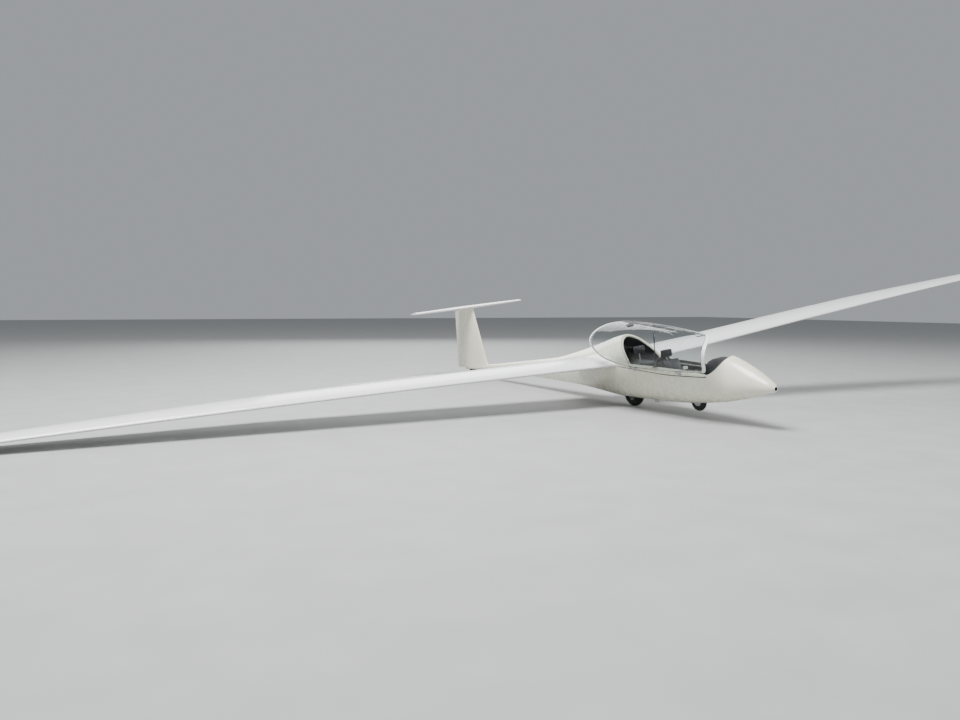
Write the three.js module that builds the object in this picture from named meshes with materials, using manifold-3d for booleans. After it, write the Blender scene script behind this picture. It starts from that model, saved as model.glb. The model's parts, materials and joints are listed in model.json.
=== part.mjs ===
// Two-seat training sailplane, parked with its canopy open and its starboard wing tip on the ground.
// Millimetres. The craft is drawn wings level: X to port, Y aft of the main wheel (its "station"), Z up
// from the ground. The whole craft is then rolled onto its starboard tip skid and centred on the origin.
import * as THREE from 'three';
import { mergeVertices } from 'three/addons/utils/BufferGeometryUtils.js';
import Module from 'manifold-3d';

const wasm = await Module();
wasm.setup();

// Clearances
const TOUCH_GAP = 0.3; // between pieces that rest on each other
const MOVE_GAP = 6; // between a moving piece and its neighbours
const WING_GAP = 8; // along the wing's flaps, whose hinge lines bend a little with the wing

// Fuselage, one row for each section. Columns: station, half width, keel height, height of the
// widest point, crown height. The crown between the cockpit's ends is the closed canopy's.
const HULL_SECTIONS = [
  [-2685, 38, 482, 520, 558],
  [-2650, 68, 466, 525, 586],
  [-2560, 106, 446, 534, 640],
  [-2390, 157, 394, 550, 734],
  [-2190, 196, 340, 564, 822],
  [-1990, 226, 292, 576, 890],
  [-1600, 270, 232, 590, 985],
  [-1100, 309, 182, 602, 1062],
  [-550, 330, 158, 608, 1108],
  [0, 334, 141, 612, 1092],
  [300, 322, 144, 612, 1032],
  [600, 288, 162, 606, 946],
  [1000, 232, 184, 580, 836],
  [1330, 188, 198, 530, 754],
  [1930, 144, 206, 440, 618],
  [2580, 120, 206, 378, 530],
  [3480, 98, 196, 312, 424],
  [4565, 74, 170, 238, 302],
  [5050, 60, 156, 214, 276],
  [5500, 46, 134, 192, 252],
];
const HULL_POINTS = 36;
const KEEL_FULLNESS = 2.2; // superellipse exponent of every section below its widest point
const CROWN_FULLNESS = 1.85; // and above it
const POD_END = 1000;
const WALL = 14;
const NOSE_BULKHEAD = -2440;
const NOSE_VENT = { height: 520, bore: 25, rim: 32, depth: 7 };

// Cockpit opening in side view, from the nose hump to the spine: station and height along the edge of the
// skin, and how far the coaming inside it stands above that edge
const OPENING_EDGE = [
  [-2050, 940, 8], [-2030, 900, 8], [-1995, 840, 8], [-1955, 775, 9], [-1910, 720, 10], [-1860, 675, 12],
  [-1820, 648, 15], [-1780, 634, 17], [-1700, 633, 22], [-1350, 638, 46], [-1000, 643, 52], [-700, 648, 54],
  [-400, 652, 46], [-350, 660, 36], [-318, 690, 24], [-282, 738, 16], [-225, 798, 12], [-155, 862, 10],
  [-85, 920, 10], [-25, 980, 10], [35, 1035, 10], [105, 1090, 10], [125, 1115, 10],
];
const COAMING = { outer: 23, inner: 32 }; // depths below the skin
const SPINE_WALL = 24; // the roof behind the cockpit
const SILL_WIDTH = 44;
const SILL_DEPTH = 24;

// Canopy
const FRAME_BAND = 28;
const FRONT_ARCH = { band: 46, behind: -1800 }; // the frame is wider ahead of this station
const FRAME_INNER = 17;
const GLASS_THICKNESS = 5;
// Two points of the hinge line: distance to starboard, station and height
const HINGE_FRONT = [295, -1760, 639];
const HINGE_REAR = [353, 0, 664];
const CANOPY_OPEN = 79; // degrees

// Wheels
const MAIN_WHEEL = { station: 0, radius: 190, width: 150, rim: 92, height: 190 };
const NOSE_WHEEL = { station: -1365, radius: 130, width: 85, rim: 58, height: 220 };
const MAIN_WELL = { front: -232, rear: 232, halfWidth: 112, roof: 428 };
const NOSE_WELL = { front: -1525, rear: -1205, halfWidth: 66, roof: 384 };
const WELL_WALL = 10;

// Wing, one row for each section. Columns: distance from the centre line, leading edge station,
// chord, leading edge height, thickness relative to the root's aerofoil.
const SPAN_HALF = 9100;
const WING_SECTIONS = [
  [180, -44, 1125, 656, 0.89],
  [1800, -103, 1073, 761, 0.84],
  [3500, -164, 1018, 868, 0.79],
  [5300, -228, 960, 972, 0.79],
  [6700, -278, 779, 1046, 0.83],
  [8000, -325, 610, 1108, 0.88],
  [8960, -359, 486, 1148, 0.86],
];
// Columns: distance inboard of the tip, share of the last chord, share of its thickness
const TIP_ROUNDING = [[52, 0.97, 0.82], [14, 0.9, 0.5], [0, 0.84, 0.2]];
const WING_INCIDENCE = 1.0; // degrees, nose up, as parked

// Aerofoil: share of the chord, upper height, lower height
const AEROFOIL = [
  [0.0, 0.0, 0.0],
  [0.008, 0.019, -0.01],
  [0.03, 0.041, -0.021],
  [0.08, 0.068, -0.034],
  [0.17, 0.094, -0.046],
  [0.29, 0.111, -0.054],
  [0.42, 0.115, -0.056],
  [0.56, 0.104, -0.05],
  [0.7, 0.08, -0.034],
  [0.8, 0.055, -0.021],
  [0.9, 0.028, -0.008],
  [1.0, 0.0016, -0.0016],
];
// The same thickness without camber, for the fin and the tailplane
const TAIL_AEROFOIL = AEROFOIL.map(([share, top, bottom]) => [share, (top - bottom) / 2, (bottom - top) / 2]);

// Control surfaces on each wing. Columns: name, inboard end, outboard end, hinge as a share of the chord
const WING_FLAPS = [
  ['flap', 520, 5240, 0.82],
  ['aileron', 5300, 8900, 0.8],
];
const BRAKE = { inboard: 3050, outboard: 4350, share: 0.55, height: 92, thickness: 8, cap: 26, capDepth: 5 };
const TIP_SKID = { distance: 8960, share: 0.42, length: 170, width: 18, drop: 34 };

// Tail. Fin and rudder: station and height of the corners
const FIN = {
  leadFoot: [4560, 236], trailFoot: [5925, 150], leadTop: [4992, 1442], trailTop: [5808, 1396], thickness: 0.11,
};
// The leading edge sweeps forward into the boom. Columns: share of the fin's height, distance forward
const FIN_FILLET = [[0, 90], [0.02, 62], [0.045, 36], [0.08, 14], [0.13, 0], [1, 0]];
const RUDDER = { hingeFoot: 5560, hingeTop: 5538, foot: 150, top: 1370 };
// Columns: distance from the centre line, leading edge station, chord, leading edge height
const TAILPLANE_SECTIONS = [
  [0, 4918, 630, 1461], [600, 4980, 508, 1459], [1144, 5038, 398, 1457],
  [1194, 5056, 362, 1456], [1210, 5084, 306, 1455],
];
const TAILPLANE_THICKNESS = 0.62;
const TAILPLANE_INCIDENCE = 3.2;
const ELEVATOR = { inboard: 62, outboard: 1134, hingeStation: 5345 };
const TAIL_SKID = { front: 5110, rear: 5400, width: 44, crown: 22 };

// Cockpit
const SEAT_SHELL = 8;
const CUSHION = 42;
// Side-view lines of the seats, front to back
const SEATS = {
  front: {
    pan: [[-1189, 402], [-1140, 340], [-1040, 276], [-990, 284]],
    back: [[-976, 306], [-790, 735]],
    halfWidth: 175,
  },
  rear: {
    pan: [[-600, 385], [-560, 342], [-430, 318], [-388, 338]],
    back: [[-377, 360], [-290, 606]],
    halfWidth: 236,
  },
};
const HEADRESTS = {
  front: { station: -776, height: 780, width: 200, stem: [-794, 737] },
  rear: { station: -196, height: 800, width: 200, stem: [-206, 641.6] },
};
// Column: half width, low, high, depth
const PANELS = {
  front: {
    station: -1716,
    thickness: 14,
    outline: [[58, 470], [66, 560], [132, 596], [166, 650], [160, 740], [120, 800], [50, 818]],
    column: [44, 240, 580, 70],
  },
  rear: {
    station: -716,
    thickness: 14,
    outline: [[58, 470], [66, 560], [122, 590], [140, 640], [136, 720], [104, 768], [44, 784]],
    column: [40, 160, 580, 24],
  },
};
// Columns: station, half width, low, high
const HOOD_SECTIONS = [[-1940, 130, 690, 852], [-1830, 156, 630, 856], [-1716.3, 168, 590, 826]];
const STICKS = {
  front: { foot: [-1300, 398], top: [-1345, 640] },
  rear: { foot: [-636, 186], top: [-656, 600] },
};
const PEDALS = {
  front: { station: -2190, inner: 36, outer: 116, low: 404, high: 556, bar: 404 },
  rear: { station: -948, inner: 186, outer: 236, low: 345, high: 450, bar: 345 },
};
const HINGES = { front_canopy: -1350, rear_canopy: -470 };
const HINGE_PIN = 5; // radius

const CREAM = { color: 0xeeebe2, roughness: 0.35, metalness: 0 };
const WHITE = { color: 0xf4f4f2, roughness: 0.32, metalness: 0 };
const RUBBER = { color: 0x1c1c1d, roughness: 0.85, metalness: 0 };
const STEEL = { color: 0x8b8f93, roughness: 0.4, metalness: 0.9 };
const BLACK = { color: 0x1a1b1d, roughness: 0.6, metalness: 0 };
const GREY = { color: 0x4a4d50, roughness: 0.7, metalness: 0 };
const FABRIC = { color: 0x26282b, roughness: 0.95, metalness: 0 };
const CLEAR = { color: 0xcfd6d8, roughness: 0.06, metalness: 0, transparent: true, opacity: 0.3 };

const radians = THREE.MathUtils.degToRad;
const vec = (x, y, z) => new THREE.Vector3(x, y, z);

// Closed body through rings of equally many points, with a fan of triangles at each end
function loft(rings) {
  const count = rings[0].length;
  const position = rings.flat().flatMap((p) => [p.x, p.y, p.z]);
  const index = [];
  for (let r = 0; r + 1 < rings.length; r++) {
    for (let i = 0; i < count; i++) {
      const a = r * count + i;
      const b = r * count + ((i + 1) % count);
      index.push(a, b, b + count, a, b + count, a + count);
    }
  }
  for (const [ring, first] of [[rings[0], 0], [rings.at(-1), (rings.length - 1) * count]]) {
    const centre = ring.reduce((sum, p) => sum.add(p), vec(0, 0, 0)).divideScalar(count);
    const hub = position.length / 3;
    position.push(centre.x, centre.y, centre.z);
    for (let i = 0; i < count; i++) {
      const a = first + i;
      const b = first + ((i + 1) % count);
      index.push(...(first === 0 ? [hub, b, a] : [hub, a, b]));
    }
  }
  const geometry = new THREE.BufferGeometry();
  geometry.setAttribute('position', new THREE.Float32BufferAttribute(position, 3));
  geometry.setIndex(index);
  return facingOut(geometry);
}

function signedVolume(geometry) {
  const p = geometry.getAttribute('position');
  const index = geometry.getIndex().array;
  const [a, b, c] = [vec(), vec(), vec()];
  let volume = 0;
  for (let i = 0; i < index.length; i += 3) {
    a.fromBufferAttribute(p, index[i]);
    b.fromBufferAttribute(p, index[i + 1]);
    c.fromBufferAttribute(p, index[i + 2]);
    volume += a.dot(b.cross(c)) / 6;
  }
  return volume;
}

function facingOut(geometry) {
  if (signedVolume(geometry) < 0) {
    geometry.getIndex().array.reverse();
  }
  return geometry;
}

function toSolid(geometry) {
  const bare = geometry.clone();
  bare.deleteAttribute('normal');
  bare.deleteAttribute('uv');
  const merged = facingOut(mergeVertices(bare, 1e-4));
  return new wasm.Manifold(new wasm.Mesh({
    numProp: 3,
    vertProperties: new Float32Array(merged.getAttribute('position').array),
    triVerts: new Uint32Array(merged.getIndex().array),
  }));
}

function toGeometry(solid) {
  const mesh = solid.getMesh();
  const geometry = new THREE.BufferGeometry();
  geometry.setAttribute('position', new THREE.Float32BufferAttribute(Array.from(mesh.vertProperties), 3));
  geometry.setIndex(Array.from(mesh.triVerts));
  return geometry;
}

const craft = new THREE.Group();

function addPiece(name, shape, look) {
  const geometry = shape.isBufferGeometry ? shape : toGeometry(shape);
  geometry.computeVertexNormals();
  const mesh = new THREE.Mesh(geometry, new THREE.MeshStandardMaterial(look));
  mesh.name = name;
  craft.add(mesh);
  return mesh;
}

// A side-view outline of [station, height] points, extruded from x = from to x = to
function sideExtrusion(outline, from, to) {
  const shape = new THREE.Shape(outline.map(([station, height]) => new THREE.Vector2(station, height)));
  const geometry = new THREE.ExtrudeGeometry(shape, { depth: to - from, bevelEnabled: false });
  geometry.rotateY(Math.PI / 2).rotateX(Math.PI / 2).translate(from, 0, 0);
  return toSolid(geometry);
}

function box(x0, x1, y0, y1, z0, z1) {
  const geometry = new THREE.BoxGeometry(x1 - x0, y1 - y0, z1 - z0);
  return toSolid(geometry.translate((x0 + x1) / 2, (y0 + y1) / 2, (z0 + z1) / 2));
}

// A rod of constant or tapering radius between two points
function rod(from, to, r0, r1 = r0, sides = 12) {
  const axis = to.clone().sub(from);
  const geometry = new THREE.CylinderGeometry(r1, r0, axis.length(), sides);
  geometry.applyQuaternion(new THREE.Quaternion().setFromUnitVectors(vec(0, 1, 0), axis.normalize()));
  geometry.translate((from.x + to.x) / 2, (from.y + to.y) / 2, (from.z + to.z) / 2);
  return toSolid(geometry);
}

// Revolved body about an axis along X: profile of [distance along X, radius]
function wheelTurning(profile, segments = 28) {
  const points = profile.map(([x, radius]) => new THREE.Vector2(radius, x));
  return toSolid(new THREE.LatheGeometry(points, segments).rotateZ(-Math.PI / 2));
}

const joined = (pieces) => pieces.reduce((whole, piece) => whole.add(piece));

// Hull measures at any station, on a smooth curve through the table
function hullAt(station) {
  const rows = HULL_SECTIONS;
  const last = rows.length - 2;
  let i = rows.findIndex((row) => row[0] > station) - 1;
  i = i < 0 ? (station <= rows[0][0] ? 0 : last) : i;
  const [a, b] = [rows[i], rows[i + 1]];
  const span = b[0] - a[0];
  const u = THREE.MathUtils.clamp((station - a[0]) / span, 0, 1);
  return [1, 2, 3, 4].map((column) => {
    const chordSlope = (b[column] - a[column]) / span;
    const before = rows[i - 1] ? slopeAt(i, column) : chordSlope;
    const after = rows[i + 2] ? slopeAt(i + 1, column) : chordSlope;
    const cubic = (2 * u - 3) * u * u;
    return a[column] * (1 + cubic) - b[column] * cubic
      + span * (before * u * (1 - u) ** 2 - after * u * u * (1 - u));
  });
}

function slopeAt(i, column) {
  const [a, b, c] = [HULL_SECTIONS[i - 1], HULL_SECTIONS[i], HULL_SECTIONS[i + 1]];
  const [before, after] = [b[0] - a[0], c[0] - b[0]];
  return ((b[column] - a[column]) / before * after + (c[column] - b[column]) / after * before) / (before + after);
}

function hullRing(station, inset) {
  const [width, keel, widest, crown] = hullAt(station);
  return Array.from({ length: HULL_POINTS }, (_, i) => {
    const angle = i * 2 * Math.PI / HULL_POINTS;
    const [c, s] = [Math.cos(angle), Math.sin(angle)];
    const power = 2 / (s > 0 ? CROWN_FULLNESS : KEEL_FULLNESS);
    const x = (width - inset) * Math.sign(c) * Math.abs(c) ** power;
    const height = s > 0 ? crown - widest - inset : widest - keel - inset;
    return vec(x, station, widest + height * Math.sign(s) * Math.abs(s) ** power);
  });
}

function hullStations(from, to, step) {
  const inside = HULL_SECTIONS.map((row) => row[0]).filter((s) => s > from && s < to);
  const marks = [from, ...inside, to];
  return marks.flatMap((mark, i) => {
    if (i + 1 === marks.length) {
      return [mark];
    }
    const pieces = Math.max(1, Math.round((marks[i + 1] - mark) / step));
    return Array.from({ length: pieces }, (_, k) => mark + (marks[i + 1] - mark) * k / pieces);
  });
}

const hullBody = (from, to, inset = 0, step = 300) => toSolid(
  loft(hullStations(from, to, step).map((station) => hullRing(station, inset))),
);

// The opening's edge moved outward of the cockpit (down and away) by a distance, the same or one for each point
function edgeOffset(distance) {
  const distanceAt = typeof distance === 'number' ? () => distance : distance;
  return OPENING_EDGE.map((point, i) => {
    const before = OPENING_EDGE[Math.max(i - 1, 0)];
    const after = OPENING_EDGE[Math.min(i + 1, OPENING_EDGE.length - 1)];
    const [dy, dz] = [after[0] - before[0], after[1] - before[1]];
    const reach = distanceAt(point) / Math.hypot(dy, dz);
    return [point[0] + dz * reach, point[1] - dy * reach];
  });
}

const HIGH = 1500;
const WIDE = 600;
const aboveEdge = (distance) => {
  const edge = edgeOffset(distance);
  return sideExtrusion([[edge[0][0], HIGH], ...edge, [edge.at(-1)[0], HIGH]], -WIDE, WIDE);
};

function buildPod() {
  const inner = hullBody(NOSE_BULKHEAD, -260, WALL);
  const sill = hullBody(-2200, 400, WALL - 2)
    .subtract(hullBody(-2200, 400, SILL_WIDTH))
    .intersect(aboveEdge(SILL_DEPTH))
    .subtract(aboveEdge(0));
  const coaming = hullBody(-2200, 400, COAMING.outer)
    .subtract(hullBody(-2200, 400, COAMING.inner))
    .intersect(aboveEdge(SILL_DEPTH))
    .subtract(aboveEdge(([, , lip]) => -lip));
  const rearBulkhead = sideExtrusion(
    [[-330, 100], [-250, 560], [-250, 640], [600, 640], [600, 100]], -WIDE, WIDE,
  );
  const rearRoom = hullBody(-600, 420, SPINE_WALL).intersect(sideExtrusion(
    [[-330, 640], [380, 640], [380, 900], [250, HIGH], [-330, HIGH]], -WIDE, WIDE,
  ));
  const frontRoom = inner.subtract(rearBulkhead);
  const noseWellOuter = box(
    -NOSE_WELL.halfWidth - WELL_WALL, NOSE_WELL.halfWidth + WELL_WALL,
    NOSE_WELL.front - WELL_WALL, NOSE_WELL.rear + WELL_WALL, 150, NOSE_WELL.roof + WELL_WALL,
  ).intersect(hullBody(-1700, -1000, 2));
  const noseWell = box(
    -NOSE_WELL.halfWidth, NOSE_WELL.halfWidth, NOSE_WELL.front, NOSE_WELL.rear, 0, NOSE_WELL.roof,
  );
  const mainWell = box(
    -MAIN_WELL.halfWidth, MAIN_WELL.halfWidth, MAIN_WELL.front, MAIN_WELL.rear, 0, MAIN_WELL.roof,
  );
  const vent = rod(vec(0, -2800, NOSE_VENT.height), vec(0, -2590, NOSE_VENT.height), NOSE_VENT.bore, NOSE_VENT.bore, 24);
  const pod = hullBody(HULL_SECTIONS[0][0], POD_END)
    .subtract(aboveEdge(0))
    .subtract(frontRoom)
    .subtract(rearRoom)
    .add(sill)
    .add(coaming)
    .add(noseWellOuter)
    .subtract(noseWell)
    .subtract(mainWell)
    .subtract(vent);
  addPiece('fuselage_pod', pod, CREAM);
  const { height, bore, rim, depth } = NOSE_VENT;
  const tip = HULL_SECTIONS[0][0] - TOUCH_GAP;
  const ring = rod(vec(0, tip - depth, height), vec(0, tip, height), rim, rim, 24)
    .subtract(rod(vec(0, tip - 20, height), vec(0, tip + 20, height), bore, bore, 24));
  addPiece('nose_vent_ring', ring, WHITE);
}

function buildCanopy() {
  const band = ([station]) => (station < FRONT_ARCH.behind ? FRONT_ARCH.band : FRAME_BAND);
  const hull = hullBody(-2200, 500, 1);
  const frame = hull
    .subtract(hullBody(-2200, 500, FRAME_INNER))
    .intersect(aboveEdge(-MOVE_GAP))
    .subtract(aboveEdge((point) => -MOVE_GAP - band(point)));
  const glass = hull
    .subtract(hullBody(-2200, 500, 1 + GLASS_THICKNESS))
    .intersect(aboveEdge((point) => -MOVE_GAP - band(point) - TOUCH_GAP));
  const turn = canopyTurn();
  for (const [name, solid, look] of [['canopy_frame', frame, WHITE], ['canopy_glazing', glass, CLEAR]]) {
    const geometry = toGeometry(solid);
    geometry.applyMatrix4(turn);
    addPiece(name, geometry, look);
  }
}

// Point of the hinge line at a station
function hingePoint(station) {
  const u = (station - HINGE_FRONT[1]) / (HINGE_REAR[1] - HINGE_FRONT[1]);
  return vec(-lerp(HINGE_FRONT[0], HINGE_REAR[0], u), station, lerp(HINGE_FRONT[2], HINGE_REAR[2], u));
}

// Turns the closed canopy up about the hinge line on its starboard rail
function canopyTurn() {
  const foot = hingePoint(HINGE_FRONT[1]);
  const axis = hingePoint(HINGE_REAR[1]).sub(foot).normalize();
  const back = new THREE.Matrix4().makeTranslation(-foot.x, -foot.y, -foot.z);
  const turn = new THREE.Matrix4().makeRotationAxis(axis, radians(-CANOPY_OPEN));
  return new THREE.Matrix4().makeTranslation(foot.x, foot.y, foot.z).multiply(turn).multiply(back);
}

const lerp = THREE.MathUtils.lerp;

// Leading edge station, chord, leading edge height and thickness at a distance from the centre line
function rowAt(rows, distance) {
  let i = rows.findIndex((row) => row[0] > distance) - 1;
  i = i < 0 ? (distance <= rows[0][0] ? 0 : rows.length - 2) : i;
  const u = (distance - rows[i][0]) / (rows[i + 1][0] - rows[i][0]);
  return rows[i].slice(1).map((value, column) => lerp(value, rows[i + 1][column + 1], u));
}

// A point of a wing section: share of chord and height as a share of chord, both from the leading edge
function sectionPoint(side, distance, row, share, height, incidence) {
  const [lead, chord, leadHeight] = row;
  const [along, up] = [share * chord, height * chord];
  const angle = radians(incidence);
  return vec(
    side * distance,
    lead + along * Math.cos(angle) + up * Math.sin(angle),
    leadHeight - along * Math.sin(angle) + up * Math.cos(angle),
  );
}

// Upper surface from the trailing edge forward, then the lower surface back to it
function aerofoilRing(foil, side, distance, row, incidence, thickness) {
  const upper = [...foil].reverse().map(([share, top]) => [share, top * thickness]);
  const lower = foil.slice(1).map(([share, , bottom]) => [share, bottom * thickness]);
  return [...upper, ...lower].map(([share, height]) => sectionPoint(side, distance, row, share, height, incidence));
}

// Nose-round section of a control surface, or with grow > 0 the room it needs in front of its hinge
function flapRing(surface, side, distance, grow) {
  const { foil, rows, incidence } = surface;
  const row = rowAt(rows, distance);
  const thickness = surface.thicknessOf(row);
  const hinge = surface.hingeOf(row);
  const [top, bottom] = rowAt(foil, hinge).map((height) => height * thickness);
  const middle = (top + bottom) / 2;
  const radius = (top - bottom) / 2 + grow / row[1];
  const nose = Array.from({ length: 9 }, (_, i) => {
    const angle = Math.PI / 2 + Math.PI * i / 8;
    return [hinge + radius * Math.cos(angle), middle + radius * Math.sin(angle)];
  });
  const behind = foil.filter(([share]) => share > 0.85);
  const upper = grow > 0
    ? [[1.1, middle + radius]]
    : [...behind].reverse().map(([share, up]) => [share, up * thickness]);
  const lower = grow > 0
    ? [[1.1, middle - radius]]
    : behind.map(([share, , low]) => [share, low * thickness]);
  return [...upper, ...nose, ...lower].map(
    ([share, height]) => sectionPoint(side, distance, row, share, height, incidence),
  );
}

function surfaceBody(surface, side, from, to, grow) {
  const inner = surface.rows.map((row) => row[0]).filter((mark) => mark > from + 60 && mark < to - 60);
  return toSolid(loft([from, ...inner, to].map((mark) => flapRing(surface, side, mark, grow))));
}

const wingSurface = (hinge) => ({
  foil: AEROFOIL,
  rows: WING_SECTIONS,
  incidence: WING_INCIDENCE,
  thicknessOf: (row) => row[3],
  hingeOf: () => hinge,
});

const elevatorSurface = {
  foil: TAIL_AEROFOIL,
  rows: TAILPLANE_SECTIONS,
  incidence: TAILPLANE_INCIDENCE,
  thicknessOf: () => TAILPLANE_THICKNESS,
  hingeOf: (row) => (ELEVATOR.hingeStation - row[0]) / (row[1] * Math.cos(radians(TAILPLANE_INCIDENCE))),
};

function wingBody(side) {
  const ringOf = (distance, row, thickness) => (
    aerofoilRing(AEROFOIL, side, distance, row, WING_INCIDENCE, thickness)
  );
  const rings = WING_SECTIONS.map((row) => ringOf(row[0], row.slice(1), row[4]));
  for (const [inboard, chordShare, thickShare] of TIP_ROUNDING) {
    const [lead, chord, height, thickness] = rowAt(WING_SECTIONS, SPAN_HALF - inboard);
    const row = [lead + chord * (1 - chordShare) / 2, chord * chordShare, height];
    rings.push(ringOf(SPAN_HALF - inboard, row, thickness * thickShare));
  }
  return toSolid(loft(rings));
}

// Box around the airbrake: from and to along the span, half width along the chord, bottom and top
// heights above the wing's upper surface
function brakeBlock(side, from, to, halfWidth, low, high) {
  const rings = [from, to].map((distance) => {
    const row = rowAt(WING_SECTIONS, distance);
    const top = sectionPoint(side, distance, row, BRAKE.share, rowAt(AEROFOIL, BRAKE.share)[0] * row[3], 0);
    return [[-halfWidth, low], [halfWidth, low], [halfWidth, high], [-halfWidth, high]]
      .map(([along, up]) => vec(top.x, top.y + along, top.z + up));
  });
  return toSolid(loft(rings));
}

function buildWing(side, sideName, hull) {
  let wing = wingBody(side).subtract(hull);
  for (const [name, inboard, outboard, hinge] of WING_FLAPS) {
    const surface = wingSurface(hinge);
    wing = wing.subtract(surfaceBody(surface, side, inboard - WING_GAP, outboard + WING_GAP, WING_GAP));
    addPiece(`${name}_${sideName}`, surfaceBody(surface, side, inboard, outboard, 0), WHITE);
  }
  const { inboard, outboard, height, thickness, cap, capDepth } = BRAKE;
  wing = wing.subtract(brakeBlock(side, inboard - 8, outboard + 8, cap / 2 + MOVE_GAP, -height - 14, 60));
  addPiece(`wing_${sideName}`, wing, WHITE);
  const blade = brakeBlock(side, inboard, outboard, thickness / 2, -height - 6, -capDepth - 1)
    .add(brakeBlock(side, inboard, outboard, cap / 2, -capDepth - 2, -1.5));
  addPiece(`airbrake_${sideName}`, blade, WHITE);
  const skid = tipSkid(side).subtract(wingBody(side).translate([0, 0, -TOUCH_GAP]));
  addPiece(`tip_skid_${sideName}`, skid, RUBBER);
}

// Foot of the skid under each wing tip: its middle and its lowest height
function tipSkidFoot() {
  const row = rowAt(WING_SECTIONS, TIP_SKID.distance);
  const under = rowAt(AEROFOIL, TIP_SKID.share)[1] * row[3];
  const low = sectionPoint(1, TIP_SKID.distance, row, TIP_SKID.share, under, WING_INCIDENCE);
  return { station: low.y, under: low.z, height: low.z - TIP_SKID.drop };
}

function tipSkid(side) {
  const foot = tipSkidFoot();
  const half = TIP_SKID.length / 2;
  const top = foot.under + 10;
  const outline = [
    [foot.station - half, top], [foot.station - half * 0.8, foot.under - 12],
    [foot.station - half * 0.35, foot.height], [foot.station + half * 0.45, foot.height],
    [foot.station + half * 0.9, foot.under - 10], [foot.station + half, top],
  ];
  const middle = side * TIP_SKID.distance;
  return sideExtrusion(outline, middle - TIP_SKID.width / 2, middle + TIP_SKID.width / 2);
}

function buildTail(boomRoom) {
  const { leadFoot, trailFoot, leadTop, trailTop, thickness } = FIN;
  const whole = toSolid(loft(FIN_FILLET.map(finRing)));
  const tailplane = tailplaneBody();
  const hingeAt = (height) => (
    lerp(RUDDER.hingeFoot, RUDDER.hingeTop, (height - RUDDER.foot) / (RUDDER.top - RUDDER.foot))
  );
  const noseRadius = (height) => {
    const u = (height - leadFoot[1]) / (leadTop[1] - leadFoot[1]);
    const [lead, trail] = [lerp(leadFoot[0], leadTop[0], u), lerp(trailFoot[0], trailTop[0], u)];
    return symmetricHalf((hingeAt(height) - lead) / (trail - lead)) * thickness * (trail - lead);
  };
  const [low, high] = [RUDDER.foot - 60, HIGH];
  const hingeRod = (grow) => rod(
    vec(0, hingeAt(low), low), vec(0, hingeAt(high), high), noseRadius(low) + grow, noseRadius(high) + grow, 24,
  );
  const behind = sideExtrusion([[hingeAt(low), low], [6200, low], [6200, high], [hingeAt(high), high]], -WIDE, WIDE);
  const fin = whole
    .subtract(hingeRod(MOVE_GAP))
    .subtract(behind)
    .subtract(boomRoom)
    .subtract(tailplane)
    .subtract(tailplane.translate([0, 0, -TOUCH_GAP]));
  addPiece('fin', keepLargest(fin), CREAM);
  const rudderBand = sideExtrusion(
    [[5300, RUDDER.foot + 12], [6200, RUDDER.foot - 14], [6200, RUDDER.top - 26], [5300, RUDDER.top + 12]], -WIDE, WIDE,
  );
  addPiece('rudder', whole.intersect(behind.add(hingeRod(0))).intersect(rudderBand), CREAM);

  let fixed = tailplane;
  for (const [side, name] of [[1, 'port'], [-1, 'starboard']]) {
    const { inboard, outboard } = ELEVATOR;
    fixed = fixed.subtract(surfaceBody(elevatorSurface, side, inboard - MOVE_GAP, outboard + MOVE_GAP, MOVE_GAP));
    addPiece(`elevator_${name}`, surfaceBody(elevatorSurface, side, inboard, outboard, 0), WHITE);
  }
  addPiece('tailplane', fixed, WHITE);
  buildTailSkid(boomRoom);
}

// Section of the fin and rudder, u from 0 at the foot to 1 at the top
function finRing([u, forward]) {
  const { leadFoot, trailFoot, leadTop, trailTop, thickness } = FIN;
  const lead = [lerp(leadFoot[0], leadTop[0], u) - forward, lerp(leadFoot[1], leadTop[1], u)];
  const trail = [lerp(trailFoot[0], trailTop[0], u), lerp(trailFoot[1], trailTop[1], u)];
  const point = (share, side) => vec(
    side * symmetricHalf(share) * thickness * (trail[0] - lead[0]),
    lerp(lead[0], trail[0], share),
    lerp(lead[1], trail[1], share),
  );
  const shares = AEROFOIL.map((row) => row[0]);
  return [...[...shares].reverse().map((share) => point(share, 1)), ...shares.slice(1).map((share) => point(share, -1))];
}

function keepLargest(solid) {
  return solid.decompose().reduce((best, piece) => (piece.volume() > best.volume() ? piece : best));
}

function buildTailSkid(boomRoom) {
  const { front, rear, width, crown } = TAIL_SKID;
  const block = sideExtrusion(
    [[front, 230], [front + 60, crown], [rear - 50, crown], [rear, 230]], -width / 2, width / 2,
  );
  const shoe = rod(vec(0, front + 50, crown), vec(0, rear - 40, crown), crown, crown, 12);
  addPiece('tail_skid', keepLargest(block.add(shoe).subtract(boomRoom)), RUBBER);
}

// Half thickness of the tail's aerofoil as a share of its full thickness
function symmetricHalf(share) {
  return rowAt(TAIL_AEROFOIL, share)[0] / (2 * Math.max(...TAIL_AEROFOIL.map((row) => row[1])));
}

function tailplaneBody() {
  const rings = [];
  for (const row of [...TAILPLANE_SECTIONS].reverse()) {
    rings.push(tailRing(-1, row));
  }
  for (const row of TAILPLANE_SECTIONS.slice(1)) {
    rings.push(tailRing(1, row));
  }
  return toSolid(loft(rings));
}

function tailRing(side, row) {
  return aerofoilRing(TAIL_AEROFOIL, side, row[0], row.slice(1), TAILPLANE_INCIDENCE, TAILPLANE_THICKNESS);
}

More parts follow.
